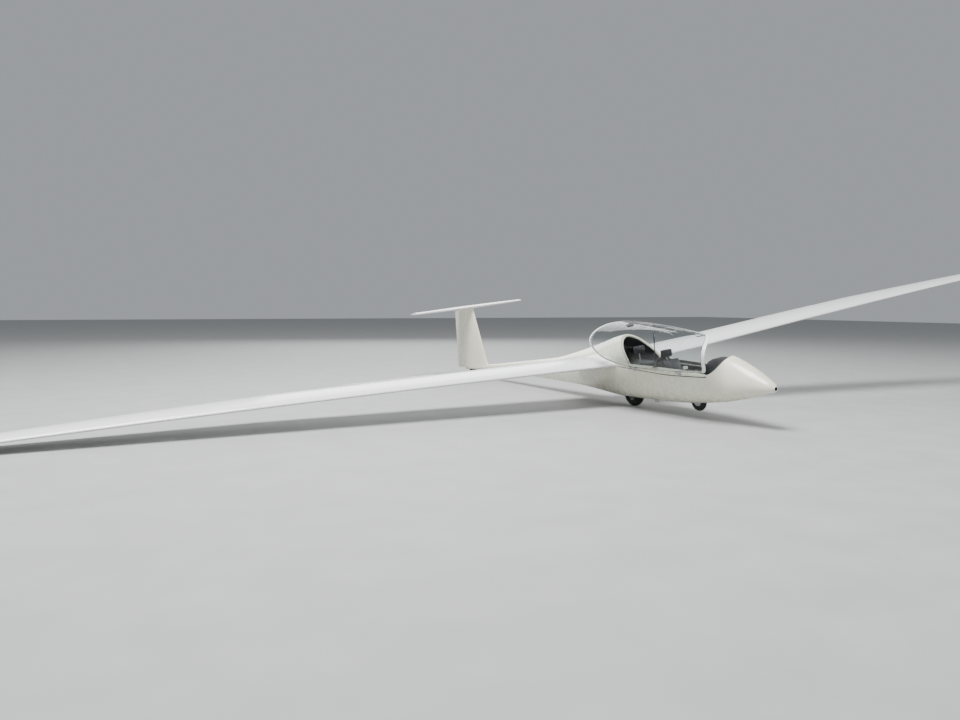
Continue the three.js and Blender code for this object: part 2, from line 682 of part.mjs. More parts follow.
// Rotating tyre and hub, and the frame that holds their axle in its well
function buildWheel(name, { station, radius, width, rim, height }, well) {
  const crown = width / 2;
  const seat = width * 0.33;
  const arc = Array.from({ length: 11 }, (_, i) => {
    const angle = radians(-105 + 21 * i);
    return [crown * Math.sin(angle), radius - crown + crown * Math.cos(angle)];
  });
  const tyre = [[-seat, rim + 4], ...arc, [seat, rim + 4], [-seat, rim + 4]];
  const half = [
    [width * 0.36, 15], [width * 0.36, 30], [width * 0.12, 34], [width * 0.12, rim - 14], [seat, rim - 8], [seat, rim + 3.4],
  ];
  const mirrored = half.map(([x, r]) => [-x, r]);
  const hub = [...mirrored, ...[...half].reverse(), mirrored[0]];
  const place = [0, station, height];
  addPiece(`${name}_tyre`, wheelTurning(tyre).translate(place), RUBBER);
  addPiece(`${name}_hub`, wheelTurning(hub).translate(place), STEEL);
  const plateIn = width / 2 + 9;
  const plates = [-1, 1].map((side) => sideExtrusion(
    [
      [station - 24, height - 26], [station + 24, height - 26],
      [station + 60, well.roof - TOUCH_GAP], [station - 60, well.roof - TOUCH_GAP],
    ],
    Math.min(side * plateIn, side * (plateIn + 7)),
    Math.max(side * plateIn, side * (plateIn + 7)),
  ));
  const axle = rod(vec(-plateIn - 12, station, height), vec(plateIn + 12, station, height), 12.5, 12.5, 24);
  addPiece(`${name}_frame`, joined([...plates, axle]), STEEL);
}

// Side-view outline of a sheet that follows a line of [station, height] points, thick on its upper side
function sheetOutline(line, thickness, lift = 0) {
  const moved = (distance) => line.map((point, i) => {
    const before = line[Math.max(i - 1, 0)];
    const after = line[Math.min(i + 1, line.length - 1)];
    const [dy, dz] = [after[0] - before[0], after[1] - before[1]];
    const length = Math.hypot(dy, dz);
    return [point[0] - dz / length * distance, point[1] + dy / length * distance];
  });
  return [...moved(lift), ...moved(lift + thickness).reverse()];
}

const along = ([from, to], u) => [lerp(from[0], to[0], u), lerp(from[1], to[1], u)];

function buildSeats() {
  const room = hullBody(-2200, -200, WALL + 4);
  for (const [name, { pan, back, halfWidth }] of Object.entries(SEATS)) {
    const shell = sideExtrusion(sheetOutline([...pan, ...back], SEAT_SHELL), -halfWidth, halfWidth).intersect(room);
    addPiece(`${name}_seat_shell`, shell, GREY);
    const inside = halfWidth - 34;
    const cushionRoom = hullBody(-2200, -200, WALL + 30);
    const lift = SEAT_SHELL + 3;
    const cushions = [
      ['seat_cushion', sheetOutline(pan, CUSHION, lift)],
      ['back_cushion', sheetOutline([along(back, 0.16), back[1]], CUSHION, lift)],
    ];
    for (const [part, outline] of cushions) {
      addPiece(`${name}_${part}`, sideExtrusion(outline, -inside, inside).intersect(cushionRoom), FABRIC);
    }
  }
  for (const [name, { station, height, width, stem }] of Object.entries(HEADRESTS)) {
    const pad = box(-width / 2, width / 2, station - 24, station + 24, height, height + 120);
    const post = rod(vec(0, stem[0], stem[1]), vec(0, station + 10, height + 20), 9);
    addPiece(`${name}_headrest`, pad.add(post), FABRIC);
  }
}

// Instrument panel: half outline of [half width, height], mirrored, on a column that stands on the floor
function buildPanel(name, { station, thickness, outline, column }) {
  const mirrored = [...outline, ...[...outline].reverse().map(([x, z]) => [-x, z])];
  const shape = new THREE.Shape(mirrored.map(([x, z]) => new THREE.Vector2(x, z)));
  const geometry = new THREE.ExtrudeGeometry(shape, { depth: thickness, bevelEnabled: false });
  geometry.rotateX(Math.PI / 2).translate(0, station + thickness, 0);
  addPiece(`${name}_instrument_panel`, toSolid(geometry), BLACK);
  const [halfWidth, low, high, depth] = column;
  const front = station - TOUCH_GAP - depth;
  const pillar = box(-halfWidth, halfWidth, front, station - TOUCH_GAP, low, high);
  addPiece(`${name}_panel_column`, pillar.intersect(hullBody(-2200, -200, WALL + 0.5)), GREY);
}

function buildCockpit() {
  buildSeats();
  for (const [name, panel] of Object.entries(PANELS)) {
    buildPanel(name, panel);
  }
  const hood = toSolid(loft(HOOD_SECTIONS.map(([station, halfWidth, low, high]) => (
    Array.from({ length: 18 }, (_, i) => {
      const angle = 2 * Math.PI * (i + 0.5) / 18;
      const up = Math.sin(angle);
      const x = halfWidth * Math.sign(Math.cos(angle)) * Math.abs(Math.cos(angle)) ** 0.7;
      return vec(x, station, up > 0 ? low + (high - low) * up ** 0.8 : low);
    })
  ))));
  addPiece('instrument_cover', hood.intersect(hullBody(-2200, -1500, SILL_WIDTH + 2)), GREY);
  for (const [name, { foot, top }] of Object.entries(STICKS)) {
    const base = vec(0, foot[0], foot[1]);
    const head = vec(0, top[0], top[1]);
    const grip = head.clone().lerp(base, 0.3);
    addPiece(`${name}_stick`, rod(base, head, 11, 9).add(rod(grip, head, 17, 19)), BLACK);
  }
  for (const [name, { station, inner, outer, low, high, bar }] of Object.entries(PEDALS)) {
    const plates = [-1, 1].map((side) => box(
      Math.min(side * inner, side * outer), Math.max(side * inner, side * outer), station, station + 10, low, high,
    ));
    const cross = box(-outer, outer, station + 4, station + 22, bar, bar + 18);
    addPiece(`${name}_pedals`, joined([...plates, cross]), STEEL);
  }
}

// Hinges on the starboard rail: a block on the hull and a leaf on the canopy's frame
function buildHinges() {
  const pin = (from, to) => rod(hingePoint(from), hingePoint(to), HINGE_PIN, HINGE_PIN, 12);
  for (const [name, station] of Object.entries(HINGES)) {
    const [from, to] = [station - 22, station + 22];
    const { x: line, z: height } = hingePoint(station);
    const lug = box(line - 4, line + 60, from, to, height - 40, height - 2)
      .add(pin(from, to))
      .subtract(hullBody(-1900, 100, -TOUCH_GAP, 80));
    addPiece(`${name}_hinge_lug`, keepLargest(lug), STEEL);
    const leaves = [station - 46, station + 24].map((start) => pin(start, start + 22)
      .add(box(line - 4, line + 60, start, start + 22, height, height + 22)));
    const strap = box(line - 4, line + 60, station - 46, station + 46, height + 12, height + 22);
    const leaf = joined([...leaves, strap]).subtract(hullBody(-1900, 100, 1 - TOUCH_GAP, 80));
    const geometry = toGeometry(keepLargest(leaf));
    geometry.applyMatrix4(canopyTurn());
    addPiece(`${name}_hinge_leaf`, geometry, STEEL);
  }
}

function buildTowHook() {
  const [front, rear, low] = [-560, -470, 118];
  const hook = box(-14, 14, front, rear, low, 220)
    .subtract(box(-20, 20, front + 26, front + 54, low + 12, low + 30))
    .subtract(hullBody(-900, 0, -TOUCH_GAP));
  addPiece('tow_hook', keepLargest(hook), STEEL);
}

function build() {
  buildPod();
  buildCanopy();
  buildHinges();
  buildCockpit();
  const wingRoom = hullBody(-400, 1500, -1);
  for (const [side, name] of [[1, 'port'], [-1, 'starboard']]) {
    buildWing(side, name, wingRoom);
  }
  const tail = HULL_SECTIONS.at(-1)[0];
  addPiece('tail_boom', hullBody(POD_END + TOUCH_GAP, tail, 0), CREAM);
  buildTail(hullBody(POD_END, tail + TOUCH_GAP, -TOUCH_GAP));
  buildWheel('main_wheel', MAIN_WHEEL, MAIN_WELL);
  buildWheel('nose_wheel', NOSE_WHEEL, NOSE_WELL);
  buildTowHook();
}

// Rolls the craft until the starboard tip skid meets the ground, then centres it over the origin
function park() {
  const roll = Math.atan2(tipSkidFoot().height, TIP_SKID.distance + TIP_SKID.width / 2);
  craft.rotation.y = -roll;
  const stand = new THREE.Group();
  stand.add(craft);
  stand.updateMatrixWorld(true);
  const bounds = new THREE.Box3().setFromObject(stand, true);
  const centre = bounds.getCenter(vec());
  stand.position.set(-centre.x, -centre.y, -bounds.min.z);
  stand.updateMatrixWorld(true);
  return stand;
}

build();

export default park();
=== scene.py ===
import json
import math
from bisect import bisect_right

import bmesh
import bpy
from mathutils import Matrix, Vector
from mathutils.bvhtree import BVHTree


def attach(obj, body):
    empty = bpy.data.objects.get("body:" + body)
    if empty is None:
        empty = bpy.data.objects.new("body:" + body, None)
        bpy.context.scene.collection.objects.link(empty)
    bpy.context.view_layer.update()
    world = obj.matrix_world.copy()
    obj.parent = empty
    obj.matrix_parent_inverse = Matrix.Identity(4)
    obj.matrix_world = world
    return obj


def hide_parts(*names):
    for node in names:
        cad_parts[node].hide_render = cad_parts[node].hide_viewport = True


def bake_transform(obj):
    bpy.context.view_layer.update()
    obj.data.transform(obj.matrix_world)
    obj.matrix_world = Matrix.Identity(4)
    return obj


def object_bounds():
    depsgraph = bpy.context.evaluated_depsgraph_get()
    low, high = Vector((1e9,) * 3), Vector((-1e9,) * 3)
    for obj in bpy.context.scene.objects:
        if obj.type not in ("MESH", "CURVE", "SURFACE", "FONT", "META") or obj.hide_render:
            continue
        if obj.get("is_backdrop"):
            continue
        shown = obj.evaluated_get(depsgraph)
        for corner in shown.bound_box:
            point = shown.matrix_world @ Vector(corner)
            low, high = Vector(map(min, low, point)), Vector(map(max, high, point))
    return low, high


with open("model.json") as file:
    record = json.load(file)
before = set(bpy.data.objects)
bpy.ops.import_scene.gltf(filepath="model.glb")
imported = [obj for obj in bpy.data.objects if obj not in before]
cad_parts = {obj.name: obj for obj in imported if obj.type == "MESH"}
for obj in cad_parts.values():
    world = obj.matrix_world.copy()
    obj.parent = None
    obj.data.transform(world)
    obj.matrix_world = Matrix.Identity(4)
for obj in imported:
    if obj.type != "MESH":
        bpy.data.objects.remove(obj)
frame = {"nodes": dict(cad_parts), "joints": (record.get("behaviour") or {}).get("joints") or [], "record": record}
CAD_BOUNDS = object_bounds()
JOINTS = {joint["name"]: joint for joint in frame["joints"]}

# Fuselage sections. Columns: station, half width, keel height, height of the widest point, crown height
HULL = [
    (-2685, 38, 482, 520, 558), (-2650, 68, 466, 525, 586), (-2560, 106, 446, 534, 640),
    (-2390, 157, 394, 550, 734), (-2190, 196, 340, 564, 822), (-1990, 226, 292, 576, 890),
    (-1600, 270, 232, 590, 985), (-1100, 309, 182, 602, 1062), (-550, 330, 158, 608, 1108),
    (0, 334, 141, 612, 1092), (300, 322, 144, 612, 1032), (600, 288, 162, 606, 946),
    (1000, 232, 184, 580, 836), (1330, 188, 198, 530, 754), (1930, 144, 206, 440, 618),
    (2580, 120, 206, 378, 530), (3480, 98, 196, 312, 424), (4565, 74, 170, 238, 302),
    (5050, 60, 156, 214, 276), (5500, 46, 134, 192, 252),
]
HULL_STATIONS = [row[0] for row in HULL]
KEEL_FULLNESS = 2.2
CROWN_FULLNESS = 1.85
POD_END = 1000
WALL = 14
SPINE_WALL = 24
NOSE_BULKHEAD = -2440
VENT = {"height": 520, "bore": 25, "rim": 32}

# The cockpit opening in side view: station and height of the skin's edge, and how far the coaming inside
# it stands above that edge
OPENING_EDGE = [
    (-2050, 940, 8), (-2030, 900, 8), (-1995, 840, 8), (-1955, 775, 9), (-1910, 720, 10), (-1860, 675, 12),
    (-1820, 648, 15), (-1780, 634, 17), (-1700, 633, 22), (-1350, 638, 46), (-1000, 643, 52), (-700, 648, 54),
    (-400, 652, 46), (-350, 660, 36), (-318, 690, 24), (-282, 738, 16), (-225, 798, 12), (-155, 862, 10),
    (-85, 920, 10), (-25, 980, 10), (35, 1035, 10), (105, 1090, 10), (125, 1115, 10),
]
COAMING_OUTER = 23
COAMING_INNER = 32
SILL_WIDTH = 44
SILL_DEPTH = 24
EDGE_GAP = 6
FRAME_BAND = 28
FRONT_BAND = 46
FRONT_BEHIND = -1800
FRAME_INNER = 17
GLASS_THICKNESS = 5
HINGE_FRONT = (295, -1760, 639)
HINGE_REAR = (353, 0, 664)
CANOPY_OPEN = 79
HINGES = {"front_canopy": -1350, "rear_canopy": -470}

# The oval scoop, the sliding windows and the latch in the canopy's port side, drawn closed
SCOOP = {"station": -547, "height": 877, "half_length": 62, "half_height": 44}
WINDOWS = {"front window": (-1250, 800), "rear window": (-760, 800)}
LATCH = {"station": -1722, "height": 663}
STAY = {"station": -862, "rail_station": -800, "rail_height": 672, "half_width": 11, "half_thickness": 1.6}

# The joint line along the fuselage's side under the opening: station and height
JOINT_LINE = [
    (-1790, 629), (-1778, 622), (-1739, 621), (-1613, 617), (-1436, 612), (-1213, 608), (-994, 612),
    (-791, 622), (-501, 636), (-298, 645), (-142, 652), (-70, 655),
]

# Seats: side-view lines from front to back
SEATS = {
    "front": {
        "pan": [(-1189, 402), (-1140, 340), (-1040, 276), (-990, 284)], "back": [(-976, 306), (-790, 735)],
        "half": 175, "head": (-776, 780), "post": (-794, 737),
    },
    "rear": {
        "pan": [(-600, 385), (-560, 342), (-430, 318), (-388, 338)], "back": [(-377, 360), (-290, 606)],
        "half": 236, "head": (-196, 800), "post": (-206, 641.6),
    },
}
SEAT_SHELL = 8
CUSHION = 42
CUSHION_LIFT = SEAT_SHELL + 3
# Panels: half outline as half width and height; dials as x, height, radius and the hand's angle
PANELS = {
    "front": {
        "station": -1716,
        "outline": [(58, 470), (66, 560), (132, 596), (166, 650), (160, 740), (120, 800), (50, 818)],
        "dials": [
            (-84, 744, 30, 120), (0, 752, 38, 60), (84, 744, 30, 200), (-100, 672, 27, 20),
            (-38, 668, 27, 150), (38, 668, 27, -20), (100, 672, 27, 100), (0, 604, 26, 80),
        ],
    },
    "rear": {
        "station": -716,
        "outline": [(58, 470), (66, 560), (122, 590), (140, 640), (136, 720), (104, 768), (44, 784)],
        "dials": [
            (-68, 708, 29, 120), (0, 720, 29, 60), (68, 708, 29, 200), (-60, 640, 26, 20),
            (0, 648, 26, 150), (60, 640, 26, 80),
        ],
    },
}
PANEL_THICKNESS = 14
# The cover over the front instruments. Columns: station, half width, low, high
HOOD = [(-1940, 130, 690, 852), (-1830, 156, 630, 856), (-1716.3, 168, 590, 826)]
# Side panels on the walls: station. Levers on the port one: name, distance aft of it, height
SIDE_PANELS = {"front": -1330, "rear": -600}
LEVERS = (("brake", 20, 566), ("trim", 110, 500))
HANDLE = {"station": -1390, "height": 716}
STICKS = {"front": ((-1300, 398), (-1345, 640)), "rear": ((-636, 186), (-656, 600))}
PEDALS = {
    "front": {"station": -2190, "inner": 36, "outer": 116, "low": 404, "high": 556},
    "rear": {"station": -948, "inner": 186, "outer": 236, "low": 345, "high": 450},
}

MAIN_WHEEL = {"station": 0, "radius": 190, "width": 150, "rim": 92, "height": 190}
NOSE_WHEEL = {"station": -1365, "radius": 130, "width": 85, "rim": 58, "height": 220}
MAIN_WELL = {"front": -232, "rear": 232, "half": 112, "roof": 428}
NOSE_WELL = {"front": -1525, "rear": -1205, "half": 66, "roof": 384}

TAIL_SKID = {"front": 5110, "rear": 5400, "width": 44, "crown": 22}
TIP_SKID = {"distance": 8960, "share": 0.42, "length": 170, "width": 18, "drop": 34}

SPAN_HALF = 9100
# Columns: distance from the centre line, leading edge station, chord, leading edge height, thickness
WING = [
    (180, -44, 1125, 656, 0.89), (1800, -103, 1073, 761, 0.84), (3500, -164, 1018, 868, 0.79),
    (5300, -228, 960, 972, 0.79), (6700, -278, 779, 1046, 0.83), (8000, -325, 610, 1108, 0.88),
    (8960, -359, 486, 1148, 0.86),
]
TIP_ROUNDING = [(52, 0.97, 0.82), (14, 0.9, 0.5), (0, 0.84, 0.2)]
WING_INCIDENCE = 1.0
AEROFOIL = [
    (0.0, 0.0, 0.0), (0.008, 0.019, -0.01), (0.03, 0.041, -0.021), (0.08, 0.068, -0.034),
    (0.17, 0.094, -0.046), (0.29, 0.111, -0.054), (0.42, 0.115, -0.056), (0.56, 0.104, -0.05),
    (0.7, 0.08, -0.034), (0.8, 0.055, -0.021), (0.9, 0.028, -0.008), (1.0, 0.0016, -0.0016),
]
TAIL_AEROFOIL = [(share, (top - low) / 2, (low - top) / 2) for share, top, low in AEROFOIL]
WING_FLAPS = [("flap", 520, 5240, 0.82), ("aileron", 5300, 8900, 0.8)]
WING_GAP = 8
BRAKE = {"inboard": 3050, "outboard": 4350, "share": 0.55, "height": 92, "cap": 26, "cap_depth": 5}

FIN = {
    "lead_foot": (4560, 236), "trail_foot": (5925, 150), "lead_top": (4992, 1442), "trail_top": (5808, 1396),
}
FIN_THICKNESS = 0.11
FIN_FILLET = [(0, 90), (0.02, 62), (0.045, 36), (0.08, 14), (0.13, 0), (1, 0)]
RUDDER = {"hinge_foot": 5560, "hinge_top": 5538, "foot": 150, "top": 1370}
TAILPLANE = [
    (0, 4918, 630, 1461), (600, 4980, 508, 1459), (1144, 5038, 398, 1457), (1194, 5056, 362, 1456),
    (1210, 5084, 306, 1455),
]
TAILPLANE_THICKNESS = 0.62
TAILPLANE_INCIDENCE = 3.2
ELEVATOR = {"inboard": 62, "outboard": 1134, "hinge": 5345}

# The frame's own joints say how the level craft lies in the row frame
WHEEL_JOINT = JOINTS["main_wheel_spin"]
ROLL = math.atan2(WHEEL_JOINT["axis"][2], WHEEL_JOINT["axis"][0])
AXLE = Vector((0, MAIN_WHEEL["station"], MAIN_WHEEL["height"]))
TO_ROW = (
    Matrix.Translation(WHEEL_JOINT["pos_m"])
    @ Matrix.Rotation(-ROLL, 4, "Y")
    @ Matrix.Scale(0.001, 4)
    @ Matrix.Translation(-AXLE)
)
FROM_ROW = TO_ROW.inverted()


def lerp(a, b, u):
    return a + (b - a) * u


def clamp(value, low, high):
    return max(low, min(high, value))


# Meshes


def add_object(name, mesh, look, sharp=32):
    for polygon in mesh.polygons:
        polygon.use_smooth = True
    mesh.set_sharp_from_angle(angle=math.radians(sharp))
    obj = bpy.data.objects.new(name.replace(" ", "_"), mesh)
    bpy.context.scene.collection.objects.link(obj)
    if look is not None:
        mesh.materials.append(look)
    return obj


def solid(name, points, faces, look=None, sharp=32):
    """A closed mesh of level-frame points, in millimetres, with its normals outward."""
    mesh = bpy.data.meshes.new(name)
    mesh.from_pydata([TO_ROW @ Vector(p) for p in points], [], faces)
    shape = bmesh.new()
    shape.from_mesh(mesh)
    bmesh.ops.remove_doubles(shape, verts=shape.verts, dist=1e-6)
    bmesh.ops.recalc_face_normals(shape, faces=shape.faces)
    shape.to_mesh(mesh)
    shape.free()
    return add_object(name, mesh, look, sharp)


def loft(name, rings, look=None, sharp=32, caps=True):
    count = len(rings[0])
    points = [p for ring in rings for p in ring]
    faces = []
    for r in range(len(rings) - 1):
        for i in range(count):
            a = r * count + i
            b = r * count + (i + 1) % count
            faces.append((a, b, b + count, a + count))
    if caps:
        faces.append(tuple(reversed(range(count))))
        faces.append(tuple(range((len(rings) - 1) * count, len(rings) * count)))
    return solid(name, points, faces, look, sharp)


def side_extrusion(name, outline, x_from, x_to, look=None, sharp=32):
    """A side-view outline of (station, height) points, extruded along X."""
    rings = [[(x, station, height) for station, height in outline] for x in (x_from, x_to)]
    return loft(name, rings, look, sharp)


def box(name, x, y, z, look=None):
    outline = [(y[0], z[0]), (y[1], z[0]), (y[1], z[1]), (y[0], z[1])]
    return side_extrusion(name, outline, x[0], x[1], look)


def combine(obj, tool, operation):
    """Cuts, joins or intersects obj with tool, and removes the tool."""
    modifier = obj.modifiers.new("combine", "BOOLEAN")
    modifier.operation = operation
    modifier.solver = "MANIFOLD"
    modifier.object = tool
    apply_modifiers(obj)
    mesh = tool.data
    bpy.data.objects.remove(tool)
    bpy.data.meshes.remove(mesh)
    return obj


def cut(obj, *tools):
    for tool in tools:
        combine(obj, tool, "DIFFERENCE")
    return obj


def join(obj, *tools):
    for tool in tools:
        combine(obj, tool, "UNION")
    return obj


def keep(obj, *tools):
    for tool in tools:
        combine(obj, tool, "INTERSECT")
    return obj


def apply_modifiers(obj):
    bpy.context.view_layer.update()
    evaluated = obj.evaluated_get(bpy.context.evaluated_depsgraph_get())
    mesh = bpy.data.meshes.new_from_object(evaluated)
    old = obj.data
    obj.modifiers.clear()
    obj.data = mesh
    bpy.data.meshes.remove(old)


def dressed(obj, look, sharp=32):
    """Smooths a mesh that came out of boolean steps and gives it its one look."""
    mesh = obj.data
    mesh.materials.clear()
    mesh.materials.append(look)
    for polygon in mesh.polygons:
        polygon.use_smooth = True
        polygon.material_index = 0
    mesh.set_sharp_from_angle(angle=math.radians(sharp))
    return obj


def placed(obj, body, slot, *nodes):
    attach(obj, body)
    if nodes:
        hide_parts(*nodes)
    return obj


# Curves through points


def smooth_line(points, steps):
    """Points on a Catmull-Rom curve through the given ones, of any dimension."""
    out = []
    for i in range(len(points) - 1):
        before = points[max(i - 1, 0)]
        a, b = points[i], points[i + 1]
        after = points[min(i + 2, len(points) - 1)]
        for k in range(steps):
            u = k / steps
            out.append(tuple(
                q + (r - p) * u / 2 + (p - 2.5 * q + 2 * r - s / 2) * u ** 2
                + (3 * q - p - 3 * r + s) * u ** 3 / 2
                for p, q, r, s in zip(before, a, b, after)
            ))
    out.append(tuple(points[-1]))
    return out


def frames_along(path, closed=False):
    """A point, side and up vector for each point of a path, turning as little as it can."""
    path = [Vector(p) for p in path]
    count = len(path)
    tangents = []
    for i in range(count):
        ahead = path[(i + 1) % count] if closed else path[min(i + 1, count - 1)]
        behind = path[i - 1] if closed or i else path[0]
        tangents.append((ahead - behind).normalized())
    up = Vector((0, 0, 1)) if abs(tangents[0].z) < 0.9 else Vector((1, 0, 0))
    out = []
    for point, tangent in zip(path, tangents):
        up = (up - tangent * up.dot(tangent)).normalized()
        out.append((point, tangent.cross(up), up))
    return out


def tube(name, path, radius, look=None, sides=12, closed=False, flat=1.0):
    """A round or flattened bar along a path of level-frame points."""
    rings = []
    for point, side, up in frames_along(path, closed):
        rings.append([
            point + side * (math.cos(a) * radius) + up * (math.sin(a) * radius * flat)
            for a in (2 * math.pi * i / sides for i in range(sides))
        ])
    if closed:
        rings.append(rings[0])
    return loft(name, rings, look, 40, caps=not closed)


def turned(name, profile, centre, axis, look=None, segments=64, sharp=32):
    """A body turned about an axis: profile of (distance along the axis, radius)."""
    turn = Vector((0, 0, 1)).rotation_difference(Vector(axis)).to_matrix()
    rings = []
    for i in range(segments):
        angle = 2 * math.pi * i / segments
        rings.append([
            Vector(centre) + turn @ Vector((math.cos(angle) * r, math.sin(angle) * r, along))
            for along, r in profile
        ])
    rings.append(rings[0])
    return loft(name, rings, look, sharp, caps=False)


def closed_profile(points):
    """Takes a turned profile to the axis at both ends."""
    return [(points[0][0], 0.001), *points, (points[-1][0], 0.001)]


def disc(name, centre, axis, radius, thickness, look=None, segments=48, edge=0.0):
    profile = [(0, radius), (thickness, radius)]
    if edge:
        rim = [(edge, radius), (thickness - edge, radius)]
        profile = [(0, radius - edge), *rim, (thickness, radius - edge)]
    return turned(name, closed_profile(profile), centre, axis, look, segments)


def merged(name, parts):
    """One object of several that share their looks."""
    mesh_parts = [part for part in parts if part is not None]
    shape = bmesh.new()
    looks = []
    for part in mesh_parts:
        offset = len(shape.faces)
        shape.from_mesh(part.data)
        shape.faces.ensure_lookup_table()
        for face in shape.faces[offset:]:
            look = part.data.materials[face.material_index] if part.data.materials else None
            if look not in looks:
                looks.append(look)
            face.material_index = looks.index(look)
    mesh = bpy.data.meshes.new(name)
    shape.to_mesh(mesh)
    shape.free()
    for look in looks:
        if look is not None:
            mesh.materials.append(look)
    for part in mesh_parts:
        old = part.data
        bpy.data.objects.remove(part)
        bpy.data.meshes.remove(old)
    obj = bpy.data.objects.new(name.replace(" ", "_"), mesh)
    bpy.context.scene.collection.objects.link(obj)
    return obj


def rounded(outline, radius, steps=5):
    """A closed outline of 2-D points with its corners rounded off."""
    out = []
    count = len(outline)
    for i in range(count):
        corner = Vector(outline[i])
        ends = []
        for other in (Vector(outline[i - 1]), Vector(outline[(i + 1) % count])):
            away = other - corner
            ends.append(corner + away.normalized() * min(radius, away.length * 0.45))
        for k in range(steps + 1):
            u = k / steps
            out.append(tuple(ends[0] * (1 - u) ** 2 + corner * (2 * u * (1 - u)) + ends[1] * u ** 2))
    return out


def rectangle(width, height, radius=0.0, steps=5):
    half, rise = width / 2, height / 2
    outline = [(-half, -rise), (half, -rise), (half, rise), (-half, rise)]
    return rounded(outline, radius, steps) if radius else outline


def slab(name, outline, place, depth, look=None, ease=1.2):
    """A plate of a 2-D outline. place(u, v, w) puts it in the craft, w running through its thickness."""
    middle = Vector((sum(u for u, _ in outline), sum(v for _, v in outline))) / len(outline)
    rings = []
    for w, inset in ((0, ease), (ease, 0), (depth - ease, 0), (depth, ease)):
        ring = []
        for point in outline:
            away = Vector(point) - middle
            ring.append(place(*(middle + away * max(1 - inset / away.length, 0)), w))
        rings.append(ring)
    return loft(name, rings, look, 35)


def facing_aft(x, station, height, tip=0.0):
    """place() for a plate that faces aft: u to port, v up, w aft, tipped back by some degrees."""
    c, s = math.cos(math.radians(tip)), math.sin(math.radians(tip))
    return lambda u, v, w: (x + u, station + w * c - v * s, height + v * c + w * s)


def lever(name, path, radius, knob, look, body="airframe"):
    """A bent steel rod with a knob on its end."""
    rod = tube(f"{name} rod", smooth_line(path, 6), radius, STEEL, 10)
    end = Vector(path[-1])
    direction = (end - Vector(path[-2])).normalized()
    profile = [(-knob * 1.3, knob * 0.45), (-knob * 0.9, knob * 0.85), (0, knob), (knob * 0.7, knob * 0.75)]
    profile = closed_profile(smooth_line([*profile, (knob, knob * 0.2)], 4))
    ball = turned(f"{name} knob", profile, end, direction, look, 24)
    return placed(merged(name, [rod, ball]), body, "black_panel")


# Soft pieces


def surface_tree(*objects):
    shape = bmesh.new()
    for obj in objects:
        shape.from_mesh(obj.data)
    tree = BVHTree.FromBMesh(shape)
    shape.free()
    return tree


def on_surface(tree, point, lift):
    """The nearest point of a surface, raised off it by some millimetres, with the surface's normal there."""
    place, normal, _, _ = tree.find_nearest(TO_ROW @ Vector(point))
    turn = FROM_ROW.to_3x3()
    normal = (turn @ normal).normalized()
    return FROM_ROW @ place + normal * lift, normal


def eased(points, rounds, closed=False):
    """Evens out a path."""
    for _ in range(rounds):
        last = len(points) - 1
        points = [
            (points[i - 1] + points[i] * 2 + points[(i + 1) % len(points)]) / 4 if closed or 0 < i < last
            else points[i]
            for i in range(len(points))
        ]
    return points


def strap(name, tree, points, width, look=None, thickness=2.4, lift=2.2, slot="dark_fabric"):
    """Webbing that lies on a surface along a path."""
    look = look or WEBBING
    path, normals = [], []
    for point in smooth_line(points, 5):
        place, normal = on_surface(tree, point, lift)
        path.append(place)
        normals.append(normal)
    path = eased(path, 4)
    normals = eased(normals, 4)
    rings = []
    for i, (place, normal) in enumerate(zip(path, normals)):
        along = (path[min(i + 1, len(path) - 1)] - path[max(i - 1, 0)]).normalized()
        side = along.cross(normal).normalized()
        up = side.cross(along).normalized()
        ring = []
        for u, v in ((-1, 0), (-0.94, 1), (0, 1.15), (0.94, 1), (1, 0), (0.94, -1), (0, -1), (-0.94, -1)):
            ring.append(place + side * (u * width / 2) + up * (v * thickness / 2))
        rings.append(ring)
    return placed(loft(name, rings, look, 50), "airframe", slot)


def puffed(obj, start, cap, frames=20):
    """Shrinks a pad a little, then puffs it up as cloth under pressure. cap(point) limits its movement."""
    modifier = obj.modifiers.new("remesh", "REMESH")
    modifier.mode = "VOXEL"
    modifier.voxel_size = 0.006
    apply_modifiers(obj)
    mesh = obj.data
    for vertex, normal in zip(mesh.vertices, [v.normal.copy() for v in mesh.vertices]):
        vertex.co -= normal * start
    mesh.update()
    rest = [vertex.co.copy() for vertex in mesh.vertices]
    cloth = obj.modifiers.new("cloth", "CLOTH")
    cloth.settings.use_pressure = True
    cloth.settings.uniform_pressure_force = 4
    cloth.settings.quality = 4
    cloth.settings.effector_weights.gravity = 0
    for number in range(1, frames + 1):
        bpy.context.scene.frame_set(number)
    puffy = obj.evaluated_get(bpy.context.evaluated_depsgraph_get())
    moved = [vertex.co.copy() for vertex in puffy.data.vertices]
    obj.modifiers.clear()
    bpy.context.scene.frame_set(1)
    for vertex, before, after in zip(mesh.vertices, rest, moved):
        step = after - before
        limit = cap(FROM_ROW @ before)
        vertex.co = before + step * min(1, limit / max(step.length, 1e-9))
    modifier = obj.modifiers.new("even", "SMOOTH")
    modifier.factor = 0.5
    modifier.iterations = 2
    modifier = obj.modifiers.new("fine", "SUBSURF")
    modifier.levels = 1
    apply_modifiers(obj)
    return obj


def sewn(obj, seams, depth=5.0, width=7.0):
    """Draws the cloth in along seams. Each seam gives a craft point's distance from it in millimetres."""
    mesh = obj.data
    normals = [vertex.normal.copy() for vertex in mesh.vertices]
    for vertex, normal in zip(mesh.vertices, normals):
        point = FROM_ROW @ vertex.co
        pull = max((math.exp(-(seam(point) / width) ** 2) for seam in seams), default=0)
        vertex.co -= normal * (pull * depth * 0.001)
    return obj


def soft(obj, node, look, body="airframe"):
    dressed(obj, look, 60)
    placed(obj, body, "dark_fabric", *([node] if node else []))
    return obj


